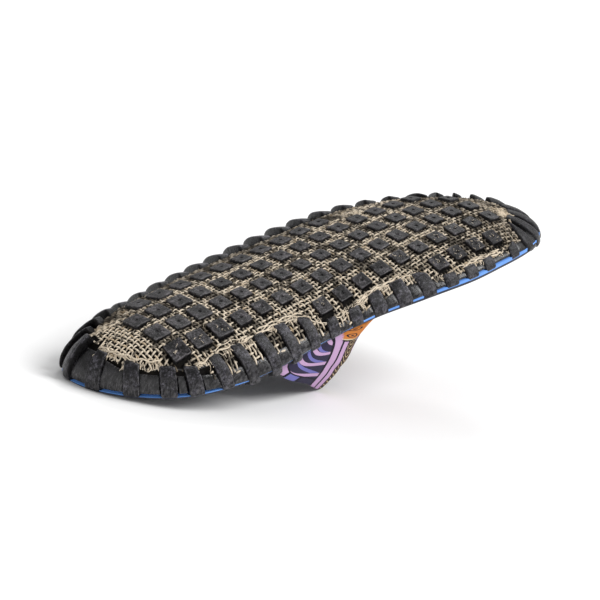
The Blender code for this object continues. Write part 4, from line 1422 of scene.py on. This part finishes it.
# --------------------------------------------------------------------- the footbed
def footbed_piece():
    build = Build("trim")
    cuts = [Section(*m) for m in rim_marks()]
    rows, trim = [], []
    inner = LIP + GAP

    def put(fn, value):
        rows.append([fn(c) for c in cuts])
        trim.extend([value] * len(cuts))

    for lv in (0.0, 0.3, 0.6, 0.85, 0.96):
        put(lambda c, lv=lv: (lambda q: (q[0], q[1], seat(q[0], lv) + GAP))(c.place((c.reach - inner) * lv, 0.0)), 0.0)
    put(lambda c: c.place(c.reach - inner, float(rim_z(c.x)) - float(bed_edge(c.x)) + GAP), 0.0)
    step = lambda c: float(rim_z(c.x)) - float(rib_stop(c.x)) + GAP
    piping = lambda c: 0.15 + 0.75 * float(smooth((c.x + 10.0) / 50.0))     # dark edge of the lining
    put(lambda c: c.place(c.reach - inner, step(c) - 0.15), 0.0)
    put(lambda c: c.place(c.reach - inner + 0.15, step(c)), 0.0)
    put(lambda c: c.place(c.reach - FLANGE_IN - 0.12, step(c)), 0.0)
    put(lambda c: c.place(c.reach - FLANGE_IN, step(c) + 0.12), 0.0)
    for k in range(4):
        put(lambda c, k=k: c.place(c.reach - FLANGE_IN, step(c) + 0.12
                                   + (float(rim_z(c.x)) - BED_ROUND - piping(c) - 0.05 - step(c) - 0.12) * (k + 1) / 4.0), 0.0)
    put(lambda c: c.place(c.reach - FLANGE_IN, float(rim_z(c.x)) - BED_ROUND - piping(c)), 1.0)
    for k in range(0, 6):
        a = 0.5 * math.pi * k / 5
        put(lambda c, a=a: c.place(c.reach - FLANGE_IN - BED_ROUND * (1.0 - math.cos(a)),
                                   float(rim_z(c.x)) - BED_ROUND + BED_ROUND * math.sin(a)), 1.0)
    for lv in (0.985, 0.95, 0.88, 0.78, 0.66, 0.54, 0.42, 0.30, 0.18, 0.08, 0.0):
        def top(c, lv=lv):
            x, y, _ = c.place((c.reach - FLANGE_IN - BED_ROUND) * lv, 0.0)
            return (x, y, bed_top(x, y, lv, c.side))
        put(top, 1.0)
    build.add(np.array(rows).reshape(-1, 3), grid_faces(len(rows), len(cuts), True), trim=np.array(trim))
    obj = build.piece("footbed_pad", [FOAM], 50.0, weld=0.02)
    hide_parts("footbed")
    return obj


# ----------------------------------------------------------------------- the strap
def strap_piece():
    n, m = 150, 30
    _, face, up = strap_points(n, m)
    t = np.linspace(-1.0, 1.0, n + 1)
    w = np.linspace(0.0, 1.0, m + 1)
    full = np.interp(w, [q[0] for q in CREST_FULL], [q[1] for q in CREST_FULL])
    near = np.exp(-((t + 0.45) / 0.2) ** 2)[:, None] * full[None, :]
    back = (np.exp(-((t + 0.82) / 0.16) ** 2) * smooth((t + 1.0) / 0.08))[:, None] * ((1.0 - w) ** 2)[None, :]
    face = face + near[..., None] * np.array([0.69, 0.72, 0.0]) - back[..., None] * np.array([DRAWN_BACK, 0.0, 0.0])
    long = np.concatenate([[0.0], np.cumsum(np.linalg.norm(np.diff(face[:, m // 2], axis=0), axis=1))])
    wide = np.concatenate([np.zeros((n + 1, 1)), np.cumsum(np.linalg.norm(np.diff(face, axis=1), axis=2), axis=1)], 1)
    # soft drag folds that run from the crest towards the anchors
    fold = np.zeros((n + 1, m + 1))
    for crest_t in (-0.42, 0.42):
        near = np.exp(-((t - crest_t) / 0.16) ** 2)
        fold += near[:, None] * (0.35 * np.sin(w * 17.0)[None, :] + 0.18 * np.sin(w * 31.0 + 1.0)[None, :])
    fold *= np.sin(math.pi * w)[None, :] ** 0.7
    outer = face + up * fold[..., None] * 0.8
    lower = face - up * STRAP_THICK
    rows = []
    for a in range(n + 1):
        o, i = outer[a], lower[a]
        row = list(o[1:-1])
        # front edge
        for e, far in ((m, m - 1), (0, 1)):
            outward = o[e] - o[far]
            outward = outward / np.linalg.norm(outward)
            mid = 0.5 * (o[e] + i[e]) - outward * 0.5 * STRAP_THICK * 0.62
            arc = []
            for q in range(7):
                ang = math.pi * (q / 6.0)
                arc.append(mid + outward * (0.5 * STRAP_THICK * 0.62 * math.sin(ang))
                           + up[a, e] * (0.5 * STRAP_THICK * math.cos(ang)))
            if e == m:
                row += arc
                row += list(i[1:-1][::-1])
            else:
                row += arc[::-1]
        rows.append(row)
    cols = len(rows[0])
    pts = np.array(rows)
    for a in (0, n):                      # ends stop just over the footbed
        for c in range(cols):
            x, y = pts[a, c, 0], pts[a, c, 1]
            s = float(share_at(np.array([x]), np.array([y]))[0])
            pts[a, c, 2] = bed_top(x, y, min(s, 1.0), 1) + STRAP_FOOT_GAP
    build = Build("crest", "front", "warm")
    faces = grid_faces(n + 1, cols, True)
    faces += [tuple(range(cols)), tuple(n * cols + c for c in reversed(range(cols)))]
    top = m - 1
    across = np.empty((n + 1, cols))
    outer_mark = np.zeros((n + 1, cols))
    for a in range(n + 1):
        across[a, :top] = wide[a, 1:-1]
        across[a, top:top + 7] = wide[a, -1]
        across[a, top + 7:top + 7 + top] = wide[a, 1:-1][::-1]
        across[a, top + 7 + top:] = 0.0
        outer_mark[a, :top] = 1.0
        outer_mark[a, top:top + 4] = 1.0
        outer_mark[a, -4:] = 1.0
    along = np.repeat(long[:, None], cols, 1)
    run = np.concatenate([np.zeros((1, m + 1)), np.cumsum(np.linalg.norm(np.diff(face, axis=0), axis=2), axis=0)])
    line = np.empty((n + 1, m + 1))
    for b in range(m + 1):
        line[:, b] = np.where(t < 0.0, run[:, b] - np.interp(-0.45, t, run[:, b]),
                              np.interp(0.45, t, run[:, b]) - run[:, b])
    crest = np.empty((n + 1, cols))
    crest[:, :top] = line[:, 1:-1]
    crest[:, top:top + 7] = line[:, -1:]
    crest[:, top + 7:top + 7 + top] = line[:, 1:-1][:, ::-1]
    crest[:, top + 7 + top:] = line[:, :1]
    front = wide[:, -1][:, None] - across
    warm = (crest > -16.0).astype(float)
    build.add(pts.reshape(-1, 3), faces, crest=crest.reshape(-1),
              front=front.reshape(-1), warm=warm.reshape(-1))
    obj = build.piece("strap_cloth", [PRINT], 50.0)
    cloth = np.stack([along, across, outer_mark], -1).reshape(-1)
    obj.data.attributes.new("cloth", "FLOAT_VECTOR", "POINT").data.foreach_set("vector", cloth.astype(np.float32))
    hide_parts("strap")
    return obj


def under_strap_z(x):
    rear, front, _ = strap_row(0.0)
    fall = (front.z - rear.z) / (front.x - rear.x)
    return rear.z + fall * (x - rear.x) - STRAP_THICK * math.hypot(1.0, fall)


def post_piece():
    build = Build("crest", "front", "warm")
    sides, rows, cloth = 40, [], []
    for k in range(25):
        h = k / 24.0
        flare = 1.0 + (POST_FLARE - 1.0) * math.exp(-h / 0.12) + 0.035 * math.sin(h * 26.0)
        if h > 0.94:
            flare *= 1.0 - 0.12 * ((h - 0.94) / 0.06)
        row = []
        for q in range(sides):
            a = 2.0 * math.pi * q / sides
            r = flare * (1.0 + 0.02 * math.sin(3.0 * a + 9.0 * h))
            x = POST_X + 0.5 * POST_LONG * r * math.cos(a)
            y = POST_Y + 0.5 * POST_WIDE * r * math.sin(a)
            s = float(field.read(field.share, np.array([x]), np.array([y]))[0])
            low, top = bed_top(x, y, s, 1) + GAP, under_strap_z(x) - POST_CLEAR
            row.append((x, y, low + (top - low) * h))
            cloth.append((a * 4.2, h * 14.0, 1.0))
        rows.append(row)
    faces = grid_faces(len(rows), sides, True)
    faces += [tuple(range(sides)), tuple((len(rows) - 1) * sides + q for q in reversed(range(sides)))]
    build.add(np.array(rows).reshape(-1, 3), faces, crest=-40.0, front=40.0, warm=0.0)
    obj = build.piece("post_cloth", [PRINT], 50.0)
    obj.data.attributes.new("cloth", "FLOAT_VECTOR", "POINT").data.foreach_set(
        "vector", np.array(cloth, np.float32).reshape(-1))
    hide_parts("toe_post")
    return obj


base_piece()
rib_piece()
plate_piece()
lug_piece()
weave_piece("jute_warp", True)
weave_piece("jute_weft", False)
fibre_piece()
footbed_piece()
strap_piece()
post_piece()


# ------------------------------------------------------------------ floor and light
def floor_piece():
    mesh = bpy.data.meshes.new("floor")
    r, n = 9.0, 64
    pts = [(0.0, 0.0, 0.0)] + [(r * math.cos(2 * math.pi * k / n), r * math.sin(2 * math.pi * k / n), 0.0) for k in range(n)]
    mesh.from_pydata(pts, [], [(0, 1 + k, 1 + (k + 1) % n) for k in range(n)])
    mat, tree, shader = new_mat("pale_floor")
    where = node(tree, "ShaderNodeTexCoord").outputs["Object"]
    colour = ramp(tree, noise(tree, where, 2.0), ((0.3, (0.875, 0.875, 0.875)), (0.7, (0.89, 0.89, 0.89))))
    tree.links.new(colour, shader.inputs["Base Color"])
    shader.inputs["Roughness"].default_value = 0.9
    shader.inputs["Specular IOR Level"].default_value = 0.1
    mesh.materials.append(mat)
    obj = bpy.data.objects.new("floor", mesh)
    bpy.context.scene.collection.objects.link(obj)


floor_piece()
world = bpy.data.worlds.new("studio")
world.use_nodes = True
world.node_tree.nodes["Background"].inputs[0].default_value = (1.0, 1.0, 1.0, 1.0)
world.node_tree.nodes["Background"].inputs[1].default_value = 0.58
bpy.context.scene.world = world
# a broad key from the front right, and a weak hard one from behind for the glints on the rubber
for name, energy, angle, way in (("key", 2.70, 34.0, (-0.70, 0.68, -1.0)), ("back", 0.45, 14.0, (-0.50, -0.50, -0.72))):
    sun = bpy.data.lights.new(name, "SUN")
    sun.energy, sun.angle = energy, math.radians(angle)
    lamp = bpy.data.objects.new(name, sun)
    lamp.rotation_euler = Vector(way).to_track_quat("-Z", "Y").to_euler()
    bpy.context.scene.collection.objects.link(lamp)
bpy.context.scene.view_settings.view_transform = "Standard"

# ------------------------------------------------------------------------- camera
axes = np.array([VIEW_RIGHT, VIEW_DOWN, VIEW_AHEAD])
stand = to_floor((-axes.T @ np.array(VIEW_SHIFT))[None])[0]
right, down, ahead = (turn @ a for a in axes)
cam = bpy.data.cameras.new("camera")
cam.sensor_width, cam.lens = 36.0, 36.0 * FOCAL_PIXELS / FRAME_PIXELS
cam.clip_end = 50.0
eye = bpy.data.objects.new("camera", cam)
eye.matrix_world = Matrix([(right[k], -down[k], -ahead[k], stand[k]) for k in range(3)] + [(0, 0, 0, 1)])
bpy.context.scene.collection.objects.link(eye)
bpy.context.scene.camera = eye
